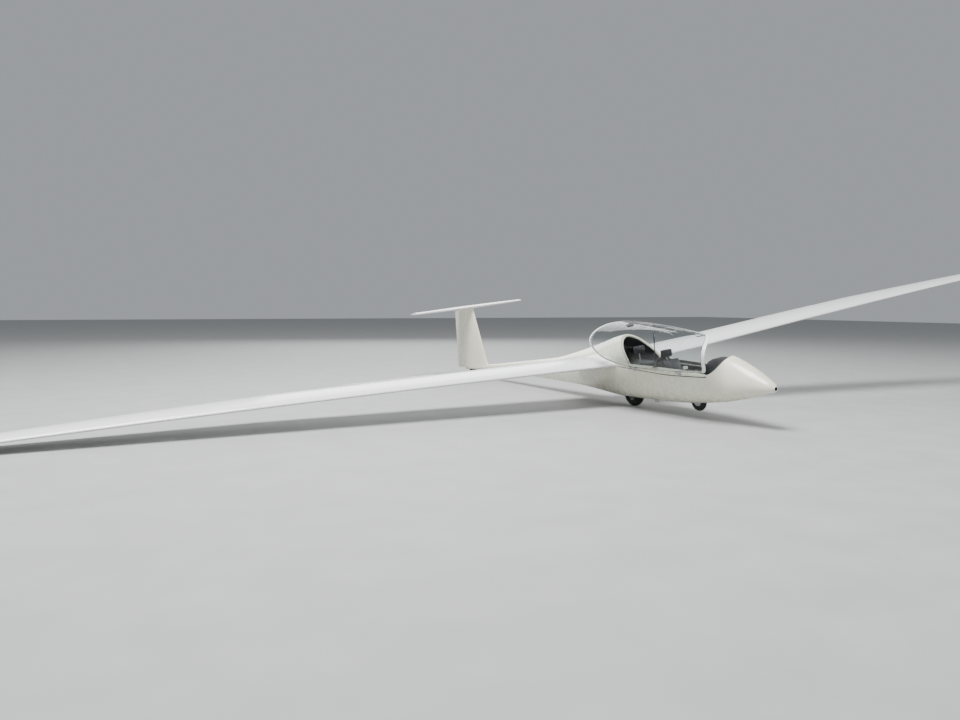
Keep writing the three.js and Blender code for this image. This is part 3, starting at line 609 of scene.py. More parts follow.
def piping(name, tree, loop, radius=3.2, look=None):
    """A round seam cord along a pad's edge."""
    path = eased([on_surface(tree, point, radius * 0.35)[0] for point in loop], 3, True)
    return placed(tube(name, path, radius, look or FABRIC, 8, True), "airframe", "dark_fabric")


# Looks


def new_look(name, **sockets):
    look = bpy.data.materials.new(name)
    look.use_nodes = True
    shader = look.node_tree.nodes["Principled BSDF"]
    for key, value in sockets.items():
        shader.inputs[key.replace("_", " ")].default_value = value
    return look


def shader_of(look):
    return look.node_tree.nodes["Principled BSDF"]


def coordinates(look, stretch=(1, 1, 1)):
    nodes, links = look.node_tree.nodes, look.node_tree.links
    source = nodes.new("ShaderNodeTexCoord")
    mapping = nodes.new("ShaderNodeMapping")
    mapping.inputs["Scale"].default_value = stretch
    links.new(source.outputs["Object"], mapping.inputs["Vector"])
    return mapping.outputs["Vector"]


def noise(look, scale, detail=4, stretch=(1, 1, 1)):
    node = look.node_tree.nodes.new("ShaderNodeTexNoise")
    node.inputs["Scale"].default_value = scale
    node.inputs["Detail"].default_value = detail
    look.node_tree.links.new(coordinates(look, stretch), node.inputs["Vector"])
    return node.outputs["Fac"]


def ramp(look, source, *stops):
    """A colour ramp: stops of (position, colour)."""
    node = look.node_tree.nodes.new("ShaderNodeValToRGB")
    elements = node.color_ramp.elements
    while len(elements) < len(stops):
        elements.new(0.5)
    for element, (position, colour) in zip(elements, stops):
        element.position = position
        element.color = (*colour, 1) if len(colour) == 3 else colour
    look.node_tree.links.new(source, node.inputs["Fac"])
    return node.outputs["Color"]


def spread(look, source, low, high):
    """A number from low to high where the source goes over the middle of its range."""
    node = look.node_tree.nodes.new("ShaderNodeMapRange")
    node.inputs["From Min"].default_value = 0.3
    node.inputs["From Max"].default_value = 0.7
    node.inputs["To Min"].default_value = low
    node.inputs["To Max"].default_value = high
    look.node_tree.links.new(source, node.inputs["Value"])
    return node.outputs["Result"]


def bumped(look, source, strength, distance=0.001):
    node = look.node_tree.nodes.new("ShaderNodeBump")
    node.inputs["Strength"].default_value = strength
    node.inputs["Distance"].default_value = distance
    look.node_tree.links.new(source, node.inputs["Height"])
    look.node_tree.links.new(node.outputs["Normal"], shader_of(look).inputs["Normal"])


def feed(look, socket, source):
    look.node_tree.links.new(source, shader_of(look).inputs[socket])


def shade(colour, factor):
    return tuple(clamp(value * factor, 0, 1) for value in colour)


def blended(look, factor, a, b):
    node = look.node_tree.nodes.new("ShaderNodeMix")
    node.data_type = "RGBA"
    links = look.node_tree.links
    links.new(factor, node.inputs["Factor"])
    for socket, value in ((node.inputs[6], a), (node.inputs[7], b)):
        if isinstance(value, tuple):
            socket.default_value = (*value, 1)
        else:
            links.new(value, socket)
    return node.outputs[2]


def gelcoat(name, colour, worn):
    """Polished gelcoat, a little cloudy, with faint streaks along the airflow and fine dust specks."""
    look = new_look(name, Coat_Weight=0.35, Coat_Roughness=0.08, Specular_IOR_Level=0.5)
    clouds = ramp(look, noise(look, 1.1, 4), (0.3, shade(colour, 0.975)), (0.7, shade(colour, 1.015)))
    streaks = ramp(look, noise(look, 5, 5, (1, 0.06, 1)), (0.66, (0, 0, 0)), (0.92, (0.06, 0.06, 0.06)))
    with_streaks = blended(look, streaks, clouds, worn)
    specks = ramp(look, noise(look, 240, 2), (0.7, (0, 0, 0)), (0.78, (0.05, 0.05, 0.05)))
    feed(look, "Base Color", blended(look, specks, with_streaks, shade(worn, 0.7)))
    feed(look, "Roughness", spread(look, noise(look, 14, 5), 0.2, 0.34))
    bumped(look, noise(look, 3, 2), 0.008, 0.001)
    return look


def plastic(name, colour, roughness, grain=320, contrast=0.12, strength=0.15, metallic=0.0):
    look = new_look(name, Metallic=metallic)
    mottle = noise(look, grain / 6, 5)
    dark, light = shade(colour, 1 - contrast), shade(colour, 1 + contrast)
    feed(look, "Base Color", ramp(look, mottle, (0.3, dark), (0.7, light)))
    wear = noise(look, grain / 3, 4)
    feed(look, "Roughness", spread(look, wear, roughness * 0.85, min(roughness * 1.15, 1)))
    bumped(look, noise(look, grain, 3), strength, 0.0006)
    return look


def woven(name, colour, light):
    """Upholstery cloth: two crossing waves make the weave, noise the wear."""
    look = new_look(name, Sheen_Weight=0.35, Sheen_Roughness=0.5)
    nodes, links = look.node_tree.nodes, look.node_tree.links
    waves = []
    for direction in ("X", "Y"):
        wave = nodes.new("ShaderNodeTexWave")
        wave.bands_direction = direction
        wave.inputs["Scale"].default_value = 260
        wave.inputs["Distortion"].default_value = 0.6
        wave.inputs["Detail"].default_value = 1
        links.new(coordinates(look, (1, 1, 0.8)), wave.inputs["Vector"])
        waves.append(wave.outputs["Fac"])
    node = nodes.new("ShaderNodeMath")
    node.operation = "MAXIMUM"
    links.new(waves[0], node.inputs[0])
    links.new(waves[1], node.inputs[1])
    weave = ramp(look, node.outputs[0], (0.4, shade(colour, 0.75)), (0.95, shade(colour, 1.25)))
    wear = ramp(look, noise(look, 11, 5), (0.45, (0, 0, 0)), (0.75, (0.45, 0.45, 0.45)))
    feed(look, "Base Color", blended(look, wear, weave, light))
    feed(look, "Roughness", spread(look, noise(look, 30, 3), 0.82, 0.98))
    bumped(look, node.outputs[0], 0.35, 0.0006)
    return look


def rubber(name, colour):
    look = new_look(name)
    feed(look, "Base Color", ramp(
        look, noise(look, 26, 6), (0.35, shade(colour, 0.8)), (0.62, colour), (0.85, shade(colour, 2.1)),
    ))
    feed(look, "Roughness", spread(look, noise(look, 60, 4), 0.68, 0.92))
    bumped(look, noise(look, 420, 3), 0.2, 0.0005)
    return look


def brushed(name, colour, roughness):
    look = new_look(name, Metallic=0.92)
    grain = noise(look, 60, 5, (1, 1, 9))
    feed(look, "Base Color", ramp(look, grain, (0.3, shade(colour, 0.82)), (0.7, shade(colour, 1.1))))
    feed(look, "Roughness", spread(look, grain, roughness * 0.7, roughness * 1.3))
    bumped(look, grain, 0.08, 0.0005)
    return look


def acrylic():
    look = new_look(
        "canopy acrylic", Transmission_Weight=1.0, IOR=1.2, Specular_IOR_Level=0.5,
    )
    haze = noise(look, 3, 4)
    feed(look, "Base Color", ramp(look, haze, (0.3, (0.72, 0.76, 0.77)), (0.7, (0.78, 0.815, 0.82))))
    feed(look, "Roughness", spread(look, noise(look, 30, 5), 0.0, 0.03))
    return look


CREAM = gelcoat("cream gelcoat", (0.79, 0.775, 0.64), (0.56, 0.54, 0.43))
WHITE = gelcoat("white gelcoat", (0.9, 0.905, 0.895), (0.64, 0.64, 0.6))
ACRYLIC = acrylic()
TYRE = rubber("tyre rubber", (0.022, 0.022, 0.022))
SEAL = rubber("black seal", (0.018, 0.018, 0.019))
SKID = rubber("skid rubber", (0.03, 0.03, 0.03))
FABRIC = woven("seat fabric", (0.016, 0.017, 0.02), (0.05, 0.052, 0.055))
WEBBING = woven("harness webbing", (0.016, 0.018, 0.03), (0.05, 0.052, 0.065))
LINING = plastic("cockpit lining", (0.042, 0.046, 0.05), 0.85, 900, 0.35, 0.3)
LAMINATE = plastic("grey laminate", (0.085, 0.09, 0.095), 0.6, 500, 0.2, 0.2)
HOOD_LOOK = plastic("instrument hood", (0.03, 0.032, 0.034), 0.92, 700, 0.4, 0.5)
PANEL = plastic("panel black", (0.018, 0.018, 0.02), 0.55, 900, 0.2, 0.3)
BLACK = plastic("black plastic", (0.014, 0.014, 0.015), 0.45, 600, 0.2, 0.2)
STEEL = brushed("brushed steel", (0.52, 0.53, 0.54), 0.34)
ALLOY = brushed("cast alloy", (0.62, 0.63, 0.63), 0.42)
DARK_METAL = brushed("dark metal", (0.12, 0.12, 0.125), 0.5)
MARK = plastic("dial marks", (0.75, 0.75, 0.72), 0.6, 900, 0.08, 0.1)
RED = plastic("red knob", (0.42, 0.02, 0.015), 0.4, 500, 0.12, 0.1)
YELLOW = plastic("yellow knob", (0.62, 0.42, 0.02), 0.4, 500, 0.12, 0.1)
GREEN = plastic("green knob", (0.02, 0.2, 0.05), 0.4, 500, 0.12, 0.1)
BLUE = plastic("blue knob", (0.015, 0.06, 0.3), 0.4, 500, 0.12, 0.1)
PALE = plastic("pale plastic", (0.62, 0.63, 0.6), 0.5, 700, 0.08, 0.15)


# Fuselage


def hull_slope(i, column):
    a, b, c = HULL[i - 1], HULL[i], HULL[i + 1]
    before, after = b[0] - a[0], c[0] - b[0]
    rise_before = (b[column] - a[column]) / before * after
    rise_after = (c[column] - b[column]) / after * before
    return (rise_before + rise_after) / (before + after)


def hull_at(station):
    """Half width, keel, widest and crown height on a smooth curve through the table."""
    i = int(clamp(bisect_right(HULL_STATIONS, station) - 1, 0, len(HULL) - 2))
    a, b = HULL[i], HULL[i + 1]
    span = b[0] - a[0]
    u = clamp((station - a[0]) / span, 0, 1)
    out = []
    for column in (1, 2, 3, 4):
        chord = (b[column] - a[column]) / span
        before = hull_slope(i, column) if i > 0 else chord
        after = hull_slope(i + 1, column) if i + 2 < len(HULL) else chord
        cubic = (2 * u - 3) * u * u
        out.append(
            a[column] * (1 + cubic) - b[column] * cubic
            + span * (before * u * (1 - u) ** 2 - after * u * u * (1 - u))
        )
    return out


def hull_point(station, angle, inset=0.0):
    width, keel, widest, crown = hull_at(station)
    c, s = math.cos(angle), math.sin(angle)
    power = 2 / (CROWN_FULLNESS if s > 0 else KEEL_FULLNESS)
    height = crown - widest - inset if s > 0 else widest - keel - inset
    x = (width - inset) * math.copysign(abs(c) ** power, c)
    return (x, station, widest + height * math.copysign(abs(s) ** power, s))


def half_width(station, height, inset=0.0):
    """Distance of the hull's side from the centre plane at a height, 0 outside the section."""
    width, keel, widest, crown = hull_at(station)
    reach = crown - widest - inset if height > widest else widest - keel - inset
    ratio = abs(height - widest) / reach
    if ratio >= 1:
        return 0.0
    power = CROWN_FULLNESS if height > widest else KEEL_FULLNESS
    return (width - inset) * (1 - ratio ** power) ** (1 / power)


def hull_body(name, start, end, inset=0.0, step=30, points=144, look=None):
    count = max(2, round((end - start) / step))
    stations = [lerp(start, end, k / count) for k in range(count + 1)]
    rings = [
        [hull_point(station, 2 * math.pi * i / points, inset) for i in range(points)] for station in stations
    ]
    return loft(name, rings, look)


def edge_line(distance=0.0, steps=6):
    """The opening's edge in side view, moved outward of the cockpit (down and away) by a distance."""
    line = smooth_line(OPENING_EDGE, steps)
    out = []
    for i, (station, height, lip) in enumerate(line):
        before, after = line[max(i - 1, 0)], line[min(i + 1, len(line) - 1)]
        dy, dz = after[0] - before[0], after[1] - before[1]
        reach = (distance(station, lip) if callable(distance) else distance) / math.hypot(dy, dz)
        out.append((station + dz * reach, height - dy * reach))
    return out


EDGE = edge_line()
EDGE_STATIONS = [station for station, _ in EDGE]


def over_edge(station, height):
    """How far a point of the side view lies inside the opening, measured square to its edge."""
    i = int(clamp(bisect_right(EDGE_STATIONS, station) - 1, 0, len(EDGE) - 2))
    (y0, z0), (y1, z1) = EDGE[i], EDGE[i + 1]
    slope = (z1 - z0) / (y1 - y0)
    return (height - z0 - slope * (station - y0)) / math.hypot(1, slope)


def frame_band(station, extra=0.0):
    """The far side of the canopy's frame, which is wider at the front arch."""
    u = clamp((FRONT_BEHIND + 20 - station) / 60, 0, 1)
    return -EDGE_GAP - lerp(FRAME_BAND, FRONT_BAND, u) - extra


def rim_loop(distance, inset, steps=6):
    """A closed loop around the opening, at a distance from its edge and a depth below the skin."""
    side = []
    for station, height in edge_line(distance, steps):
        x = half_width(station, height, inset)
        if x > 0:
            side.append((x, station, height))
    tops = [(0, *crown_crossing(side[end], inset)) for end in (0, -1)]
    return [tops[0], *side, tops[1], *[(-x, y, z) for x, y, z in reversed(side)]]


def crown_crossing(point, inset):
    """Where the loop meets the centre plane: the hull's crown next to the loop's last point."""
    station = point[1] + (12 if point[1] > -1000 else -12) * clamp(point[0] / 60, 0, 2)
    return station, hull_at(station)[3] - inset


HIGH = 1500
WIDE = 600


def above_edge(distance=0.0):
    edge = edge_line(distance)
    return side_extrusion("above edge", [(edge[0][0], HIGH), *edge, (edge[-1][0], HIGH)], -WIDE, WIDE)


def painted_inside(obj, look, depth=3.0):
    """Gives the faces inside the hull's outer skin the look of the cockpit's lining, but leaves the flange
    and the outer side of the coaming in the opening as they are. The floor of the groove along the joint
    line gets the dark lining too, as painted shade for the gap there."""
    mesh = obj.data
    mesh.materials.append(look)
    index = len(mesh.materials) - 1
    turn = FROM_ROW.to_3x3()
    for polygon in mesh.polygons:
        x, station, height = FROM_ROW @ polygon.center
        if abs(x) >= half_width(station, height) - depth or station < NOSE_BULKHEAD - 5:
            continue
        facing = (turn @ polygon.normal).normalized()
        inward = Vector((-x, 0, 600 - height)).normalized()
        on_flange = over_edge(station, height) > -3 and facing.dot(inward) < 0.45
        under_belly = facing.z < -0.9 and height < 200
        if not on_flange and not under_belly:
            polygon.material_index = index


def joint_line(side, inset):
    line = smooth_line(JOINT_LINE, 5)
    return [(side * half_width(station, height, inset), station, height) for station, height in line]


def skin_point(side, station, height, out):
    """A point of the hull's side, out of it by a distance, or inside it where that is negative."""
    return (side * (half_width(station, height) + out), station, height)


def skin_plate(name, side, station, height, outline, depth, look, out=0.0, ease=1.2):
    """A plate that follows the hull's side, from a distance out of it, with its thickness outward."""
    return slab(
        name, outline, lambda u, v, w: skin_point(side, station + u, height + v, out + w), depth, look, ease,
    )


def build_pod():
    pod = hull_body("fuselage", HULL[0][0], POD_END)
    cut(pod, above_edge())
    front_room = hull_body("room", NOSE_BULKHEAD, -260, WALL)
    bulkhead = [(-330, 100), (-250, 560), (-250, 640), (600, 640), (600, 100)]
    cut(front_room, side_extrusion("bulkhead", bulkhead, -WIDE, WIDE))
    rear_room = hull_body("rear room", -600, 420, SPINE_WALL)
    shelf = [(-330, 640), (380, 640), (380, 900), (250, HIGH), (-330, HIGH)]
    keep(rear_room, side_extrusion("shelf", shelf, -WIDE, WIDE))
    cut(pod, front_room, rear_room)
    sill = hull_body("sill", -2200, 400, WALL - 2)
    cut(sill, hull_body("sill inside", -2230, 430, SILL_WIDTH))
    keep(sill, above_edge(SILL_DEPTH))
    cut(sill, above_edge(0))
    coaming = hull_body("coaming", -2200, 400, COAMING_OUTER)
    cut(coaming, hull_body("coaming inside", -2230, 430, COAMING_INNER))
    keep(coaming, above_edge(SILL_DEPTH))
    cut(coaming, above_edge(lambda station, lip: -lip))
    join(pod, sill, coaming)
    half = NOSE_WELL["half"] + 10
    nose_box = box(
        "nose well outside", (-half, half), (NOSE_WELL["front"] - 10, NOSE_WELL["rear"] + 10),
        (150, NOSE_WELL["roof"] + 10),
    )
    keep(nose_box, hull_body("well limit", -1700, -1000, 2))
    join(pod, nose_box)
    for well in (NOSE_WELL, MAIN_WELL):
        room = box("well", (-well["half"], well["half"]), (well["front"], well["rear"]), (0, well["roof"]))
        cut(pod, room)
    cut(pod, disc("vent", (0, -2800, VENT["height"]), (0, 1, 0), VENT["bore"], 210))
    # The groove along the joint line: its floor lies more than 3 mm under the skin, so painted_inside gives it the
    # dark lining, painted shade for the gap
    for side in (-1, 1):
        cut(pod, tube("groove", joint_line(side, 0), 6, None, 10))
    dressed(pod, CREAM)
    painted_inside(pod, LINING)
    placed(pod, "airframe", "cream_gelcoat", "fuselage_pod")
    return pod


def build_boom():
    boom = hull_body("tail boom", POD_END + 0.3, HULL[-1][0], 0, 60)
    dressed(boom, CREAM)
    placed(boom, "airframe", "cream_gelcoat", "tail_boom")


def build_sill():
    """Black rubber in the joint line, partly a real seal and partly painted shade for the gap there, and the seal
    that the canopy closes on.
    """
    # The black joint rubber is widened to stand in as painted shade for the gap along the joint line
    for side, name in ((-1, "starboard"), (1, "port")):
        placed(tube(f"joint seal {name}", joint_line(side, 5), 3.6, SEAL, 8), "airframe", "skid_rubber")
    placed(tube("canopy seal", rim_loop(1.5, 18.5, 4), 3, SEAL, 8, True), "airframe", "skid_rubber")


def build_nose():
    """The rounded ring around the ventilation inlet, its sleeve and its mesh."""
    bore, rim, height = VENT["bore"], VENT["rim"], VENT["height"]
    front = HULL[0][0] - 7
    lip = [
        (7, bore), (3, bore + 0.2), (1, bore + 1.4), (0, bore + 3.4), (0.6, rim - 2), (2.4, rim - 0.4),
        (7, rim),
    ]
    ring = turned("nose ring", lip, (0, front, height), (0, 1, 0), WHITE, 72, 50)
    placed(ring, "airframe", "white_gelcoat", "nose_vent_ring")
    sleeve = turned(
        "vent sleeve", [(8, bore - 0.2), (8, bore - 2), (95, bore - 3), (95, bore - 0.2)], (0, front, height),
        (0, 1, 0), SEAL, 48,
    )
    bars = [disc("vent back", (0, front + 90, height), (0, 1, 0), bore - 2.6, 2, SEAL, 32)]
    for k in range(-3, 4):
        reach = math.sqrt((bore - 2.8) ** 2 - (k * 6) ** 2)
        upright = [(k * 6, front + 60, height + end * reach) for end in (-1, 1)]
        level = [(end * reach, front + 62, height + k * 6) for end in (-1, 1)]
        bars += [tube("bar", ends, 0.7, DARK_METAL, 6) for ends in (upright, level)]
    placed(merged("vent mesh", [sleeve, *bars]), "airframe", "skid_rubber")


# Canopy


def hinge_point(station):
    u = (station - HINGE_FRONT[1]) / (HINGE_REAR[1] - HINGE_FRONT[1])
    return Vector((-lerp(HINGE_FRONT[0], HINGE_REAR[0], u), station, lerp(HINGE_FRONT[2], HINGE_REAR[2], u)))


def canopy_turn():
    """Opens what is drawn closed, in the row frame."""
    foot = hinge_point(HINGE_FRONT[1])
    axis = (hinge_point(HINGE_REAR[1]) - foot).normalized()
    turn = Matrix.Translation(foot) @ Matrix.Rotation(math.radians(-CANOPY_OPEN), 4, axis)
    return TO_ROW @ turn @ Matrix.Translation(-foot) @ FROM_ROW


def opened(obj):
    obj.data.transform(canopy_turn())
    return obj


def build_canopy():
    frame_ring = hull_body("canopy frame", -2200, 500, 1)
    cut(frame_ring, hull_body("frame inside", -2230, 530, FRAME_INNER))
    keep(frame_ring, above_edge(-EDGE_GAP))
    cut(frame_ring, above_edge(lambda station, lip: frame_band(station)))
    dressed(opened(frame_ring), WHITE)
    placed(frame_ring, "canopy", "white_gelcoat", "canopy_frame")
    glass = hull_body("canopy glazing", -2200, 500, 1)
    cut(glass, hull_body("glass inside", -2230, 530, 1 + GLASS_THICKNESS))
    keep(glass, above_edge(lambda station, lip: frame_band(station, 0.3)))
    dressed(opened(glass), ACRYLIC)
    placed(glass, "canopy", "canopy_acrylic", "canopy_glazing")
    beads = [
        ("canopy bead", 0.4, 2.4, SEAL, "skid_rubber"),
        ("canopy bead inside", 7, 3.4, WHITE, "white_gelcoat"),
    ]
    for name, inset, radius, look, slot in beads:
        loop = rim_loop(lambda station, lip: frame_band(station), inset)
        placed(opened(tube(name, loop, radius, look, 6, True)), "canopy", slot)
    build_window()
    build_latch()


def build_window():
    """The oval air scoop and the two small sliding windows in the canopy's port side."""
    station, height = SCOOP["station"], SCOOP["height"]
    angles = [math.pi * i / 20 for i in range(40)]
    oval = [(SCOOP["half_length"] * math.cos(a), SCOOP["half_height"] * math.sin(a)) for a in angles]
    scoop = skin_plate("scoop", 1, station, height, oval, 5, BLACK, 0.2, 2)
    edge = [skin_point(1, station + u * 1.02, height + v * 1.02, 4) for u, v in oval]
    collar = tube("scoop edge", edge, 3.4, BLACK, 8, True)
    flange = skin_plate("scoop flange", 1, station, height, oval, 2, BLACK, -GLASS_THICKNESS - 2.6, 0.8)
    placed(opened(merged("air scoop", [scoop, collar, flange])), "canopy", "black_panel")
    for name, (station, height) in WINDOWS.items():
        frame_line = [
            skin_point(1, station + u, height + v, 1.2) for u, v in rectangle(190, 130, 26, 5)
        ]
        pieces = [tube("window edge", frame_line, 2.6, PALE, 8, True)]
        for v in (-74, 74):
            rail = [skin_point(1, station + u, height + v, -6.5) for u in range(-180, 121, 20)]
            pieces.append(tube("window rail", rail, 3, PALE, 8))
        spot = skin_point(1, station + 70, height, -14)
        pieces.append(disc("window knob", spot, (0.9, 0, 0.4), 9, 10, BLACK, 20, 2))
        placed(opened(merged(f"canopy {name}", pieces)), "canopy", "white_gelcoat")


def build_latch():
    """A lever on the inside of the canopy's port rail, with its plate."""
    station, height = LATCH["station"], LATCH["height"]
    plate = skin_plate("plate", 1, station, height, rectangle(60, 14, 5), 3, STEEL, -FRAME_INNER - 4)
    spot = skin_point(1, station, height + 1, -FRAME_INNER - 10)
    pivot = disc("pivot", spot, (1, 0, 0), 7, 8, STEEL, 24, 1)
    path = [
        skin_point(1, station + along, height + up, -FRAME_INNER - depth)
        for along, up, depth in ((0, 2, 8), (14, 10, 14), (40, 20, 22), (66, 30, 26))
    ]
    handle = tube("handle", smooth_line(path, 5), 5.5, BLACK, 12, flat=0.8)
    placed(opened(merged("canopy latch", [plate, pivot, handle])), "canopy", "steel")


def build_hinges():
    """Hinges on the starboard rail: the fuselage's lug and the canopy's leaf, with a pin and screws."""
    for name, station in HINGES.items():
        pin_x = hinge_point(station).x

        def outward(middle, v_middle, spread_out=4.0):
            def place(u, v, w):
                skin = -half_width(middle + u, v_middle + v) - 0.2
                return (lerp(skin, pin_x - spread_out, w / 10), middle + u, v_middle + v)
            return place

        height = hinge_point(station).z
        lug = slab("lug", rectangle(44, 37, 7), outward(station, height - 21), 10, STEEL, 1.2)
        pin = tube("pin", [hinge_point(station - 46), hinge_point(station + 46)], 4.8, STEEL, 16)
        screws = [
            disc("screw", (pin_x - 4, station + u, height - 26), (-1, 0, 0), 4.2, 1.8, DARK_METAL, 16, 0.6)
            for u in (-12, 12)
        ]
        placed(merged(f"{name} lug", [lug, pin, *screws]), "airframe", "steel", f"{name}_hinge_lug")
        leaf = [slab("strap", rectangle(92, 10, 3), outward(station, height + 17), 10, STEEL, 1.2)]
        for u in (-35, 35):
            place = outward(station + u, height + 11)
            leaf.append(slab("knuckle", rectangle(21, 22, 4), place, 10, STEEL, 1.2))
            ends = [hinge_point(station + u + end) for end in (-10.5, 10.5)]
            leaf.append(tube("barrel", ends, 7.6, STEEL, 18))
            spot = (pin_x - 4, station + u, height + 16)
            leaf.append(disc("screw", spot, (-1, 0, 0), 3.6, 1.8, DARK_METAL, 16, 0.6))
        placed(opened(merged(f"{name} leaf", leaf)), "canopy", "steel", f"{name}_hinge_leaf")


# Cockpit


def sheet_line(points, lift, steps=6):
    """A smooth side-view line, moved off its upper side by a distance."""
    line = smooth_line(points, steps)
    out = []
    for i, (station, height) in enumerate(line):
        before, after = line[max(i - 1, 0)], line[min(i + 1, len(line) - 1)]
        dy, dz = after[0] - before[0], after[1] - before[1]
        reach = lift / math.hypot(dy, dz)
        out.append((station - dz * reach, height + dy * reach))
    return out


def at_share(line, share):
    position = clamp(share, 0, 1) * (len(line) - 1)
    i = min(int(position), len(line) - 2)
    return tuple(lerp(a, b, position - i) for a, b in zip(line[i], line[i + 1]))


def build_shell(name, seat):
    """The moulded seat shell: one sheet with a rolled-up edge on both sides."""
    line = [*seat["pan"], *seat["back"]]
    low, high = sheet_line(line, 0), sheet_line(line, SEAT_SHELL)
    rings = []
    for under, over in zip(low, high):
        half = min(seat["half"], half_width(*under, WALL + 6))
        direction = (Vector(over) - Vector(under)).normalized()
        sides = []
        for start in (under, over):
            row = []
            for k in range(-12, 13):
                u = k / 12
                rise = direction * (24 * abs(u) ** 9)
                row.append((half * u, start[0] + rise.x, start[1] + rise.y))
            sides.append(row)
        rings.append([*sides[0], *reversed(sides[1])])
    shell = loft(f"{name} seat shell", rings, LAMINATE, 40)
    edge = []
    for side in (-1, 1):
        edge += [ring[0 if side < 0 else 24] for ring in (rings if side < 0 else rings[::-1])]
    trim = tube(f"{name} shell edge", edge, 5.5, BLACK, 8, True)
    placed(trim, "airframe", "black_panel")
    return placed(shell, "airframe", "grey_laminate", f"{name}_seat_shell")


def nearest_share(line, point):
    """Share along a side-view line of the place nearest to a point, and the point's height over the line."""
    best = min(range(len(line)), key=lambda i: (line[i][0] - point.y) ** 2 + (line[i][1] - point.z) ** 2)
    i = clamp(best, 1, len(line) - 2)
    along = Vector(line[i + 1]) - Vector(line[i - 1])
    offset = Vector((point.y, point.z)) - Vector(line[i])
    return best / (len(line) - 1), (along.x * offset.y - along.y * offset.x) / along.length


def build_cushion(name, node, points, half, seam_shares, seam_x):
    """A stitched pad on the shell: flat underneath, crowned between its edges and seams."""
    low = sheet_line(points, CUSHION_LIFT)
    high = sheet_line(points, CUSHION_LIFT + CUSHION)
    fine = sheet_line(points, 0, 12)
    pad = side_extrusion(name, [*low, *reversed(high)], -half, half)

    def cap(point):
        share, over = nearest_share(fine, point)
        if over < CUSHION_LIFT + CUSHION * 0.4:
            return 0.006
        crown = (1 - abs(point.x / half) ** 3) * (1 - abs(2 * share - 1) ** 4)
        return lerp(0.004, 0.015, clamp(crown, 0, 1))

    puffed(pad, 0.006, cap)

    def cross_seam(share):
        station, height = at_share(fine, share)
        ahead = Vector(at_share(fine, share + 0.03)) - Vector(at_share(fine, share - 0.03))
        ahead.normalize()
        return lambda point: (point.y - station) * ahead.x + (point.z - height) * ahead.y

    seams = [cross_seam(share) for share in seam_shares]
    seams += [lambda point, x=side * seam_x: point.x - x for side in (-1, 1)]
    sewn(pad, seams)
    soft(pad, node, FABRIC)
    tree = surface_tree(pad)
    for lift, mark in ((CUSHION_LIFT + 5, "low"), (CUSHION_LIFT + CUSHION - 4, "high")):
        rim = sheet_line(points, lift)
        loop = [(half, *at_share(rim, k / 14)) for k in range(15)]
        loop += [(half * (1 - k / 5), *rim[-1]) for k in range(1, 10)]
        loop += [(-half, *at_share(rim, 1 - k / 14)) for k in range(15)]
        loop += [(-half * (1 - k / 5), *rim[0]) for k in range(1, 10)]
        piping(f"{name} piping {mark}", tree, loop)
    return pad


def build_headrest(name, seat):
    station, height = seat["head"]
    pad = slab(
        f"{name} headrest", rectangle(200, 120, 34, 8), facing_aft(0, station - 24, height + 60), 48, None, 8,
    )

    def cap(point):
        crown = (1 - abs(point.x / 100) ** 3) * (1 - abs((point.z - height - 60) / 60) ** 3)
        return lerp(0.005, 0.014, clamp(crown, 0, 1))

    puffed(pad, 0.006, cap)
    sewn(pad, [lambda point, x=x: point.x - x for x in (-52, 52)], 4)
    soft(pad, f"{name}_headrest", FABRIC)
    tree = surface_tree(pad)
    loop = [(u, station - 20, height + 60 + v) for u, v in rectangle(198, 118, 34, 6)]
    piping(f"{name} headrest piping", tree, loop, 2.6)
    post = Vector((0, *seat["post"]))
    head = Vector((0, station + 10, height + 20))
    bars = [tube("post", [post, post.lerp(head, 0.5), head], 9, STEEL, 20)]
    along = (head - post).normalized()
    bars.append(turned("collar", [(-6, 10), (-6, 19), (5, 19), (9, 14), (9, 10)], post, along, BLACK, 28))
    placed(merged(f"{name} headrest post", bars), "airframe", "steel")


def build_harness(name, seat, tree):
    """Shoulder, lap and crotch straps that meet at one buckle on the seat."""
    pan = sheet_line(seat["pan"], CUSHION_LIFT + CUSHION + 8)
    back = sheet_line(seat["back"], CUSHION_LIFT + CUSHION + 8)
    behind = sheet_line(seat["back"], -10)
    half = seat["half"] - 34
    centre = (0, *at_share(pan, 0.62))
    buckle, facing = on_surface(tree, centre, 9)
    for side, side_name in ((-1, "starboard"), (1, "port")):
        over = [(side * 56, *at_share(behind, 0.9)), (side * 56, *at_share(behind, 1.0))]
        over += [(side * lerp(56, 46, k / 4), *at_share(back, 0.97 - 0.22 * k)) for k in range(5)]
        over += [(side * 34, *at_share(pan, 0.86)), (side * 16, *at_share(pan, 0.7))]
        strap(f"{name} shoulder strap {side_name}", tree, over, 46)
        lap = [(side * (half + 14), *at_share(pan, 1.0)), (side * half * 0.98, *at_share(pan, 0.92))]
        inward = ((half * 0.7, 0.8), (60, 0.68), (20, 0.62))
        lap += [(side * out, *at_share(pan, share)) for out, share in inward]
        strap(f"{name} lap strap {side_name}", tree, lap, 46)
        place, normal = on_surface(tree, (side * 52, *at_share(back, 0.55)), 5)
        frame_line = [
            place + Vector((u, 0, 0)) + Vector((1, 0, 0)).cross(normal) * v for u, v in rectangle(58, 30, 6)
        ]
        placed(tube(f"{name} adjuster {side_name}", frame_line, 2.4, STEEL, 8, True), "airframe", "steel")
    front = [(0, *at_share(pan, 0.58)), (0, *at_share(pan, 0.35)), (0, *at_share(pan, 0.12))]
    strap(f"{name} crotch strap", tree, front, 40)
    case = turned(
        "case", closed_profile([(-6, 28), (4, 31), (8, 30), (10, 25)]), buckle, facing, DARK_METAL, 40,
    )
    knob = turned("turn", closed_profile([(9, 19), (13, 19), (16, 15)]), buckle, facing, RED, 32)
    placed(merged(f"{name} harness buckle", [case, knob]), "airframe", "steel")


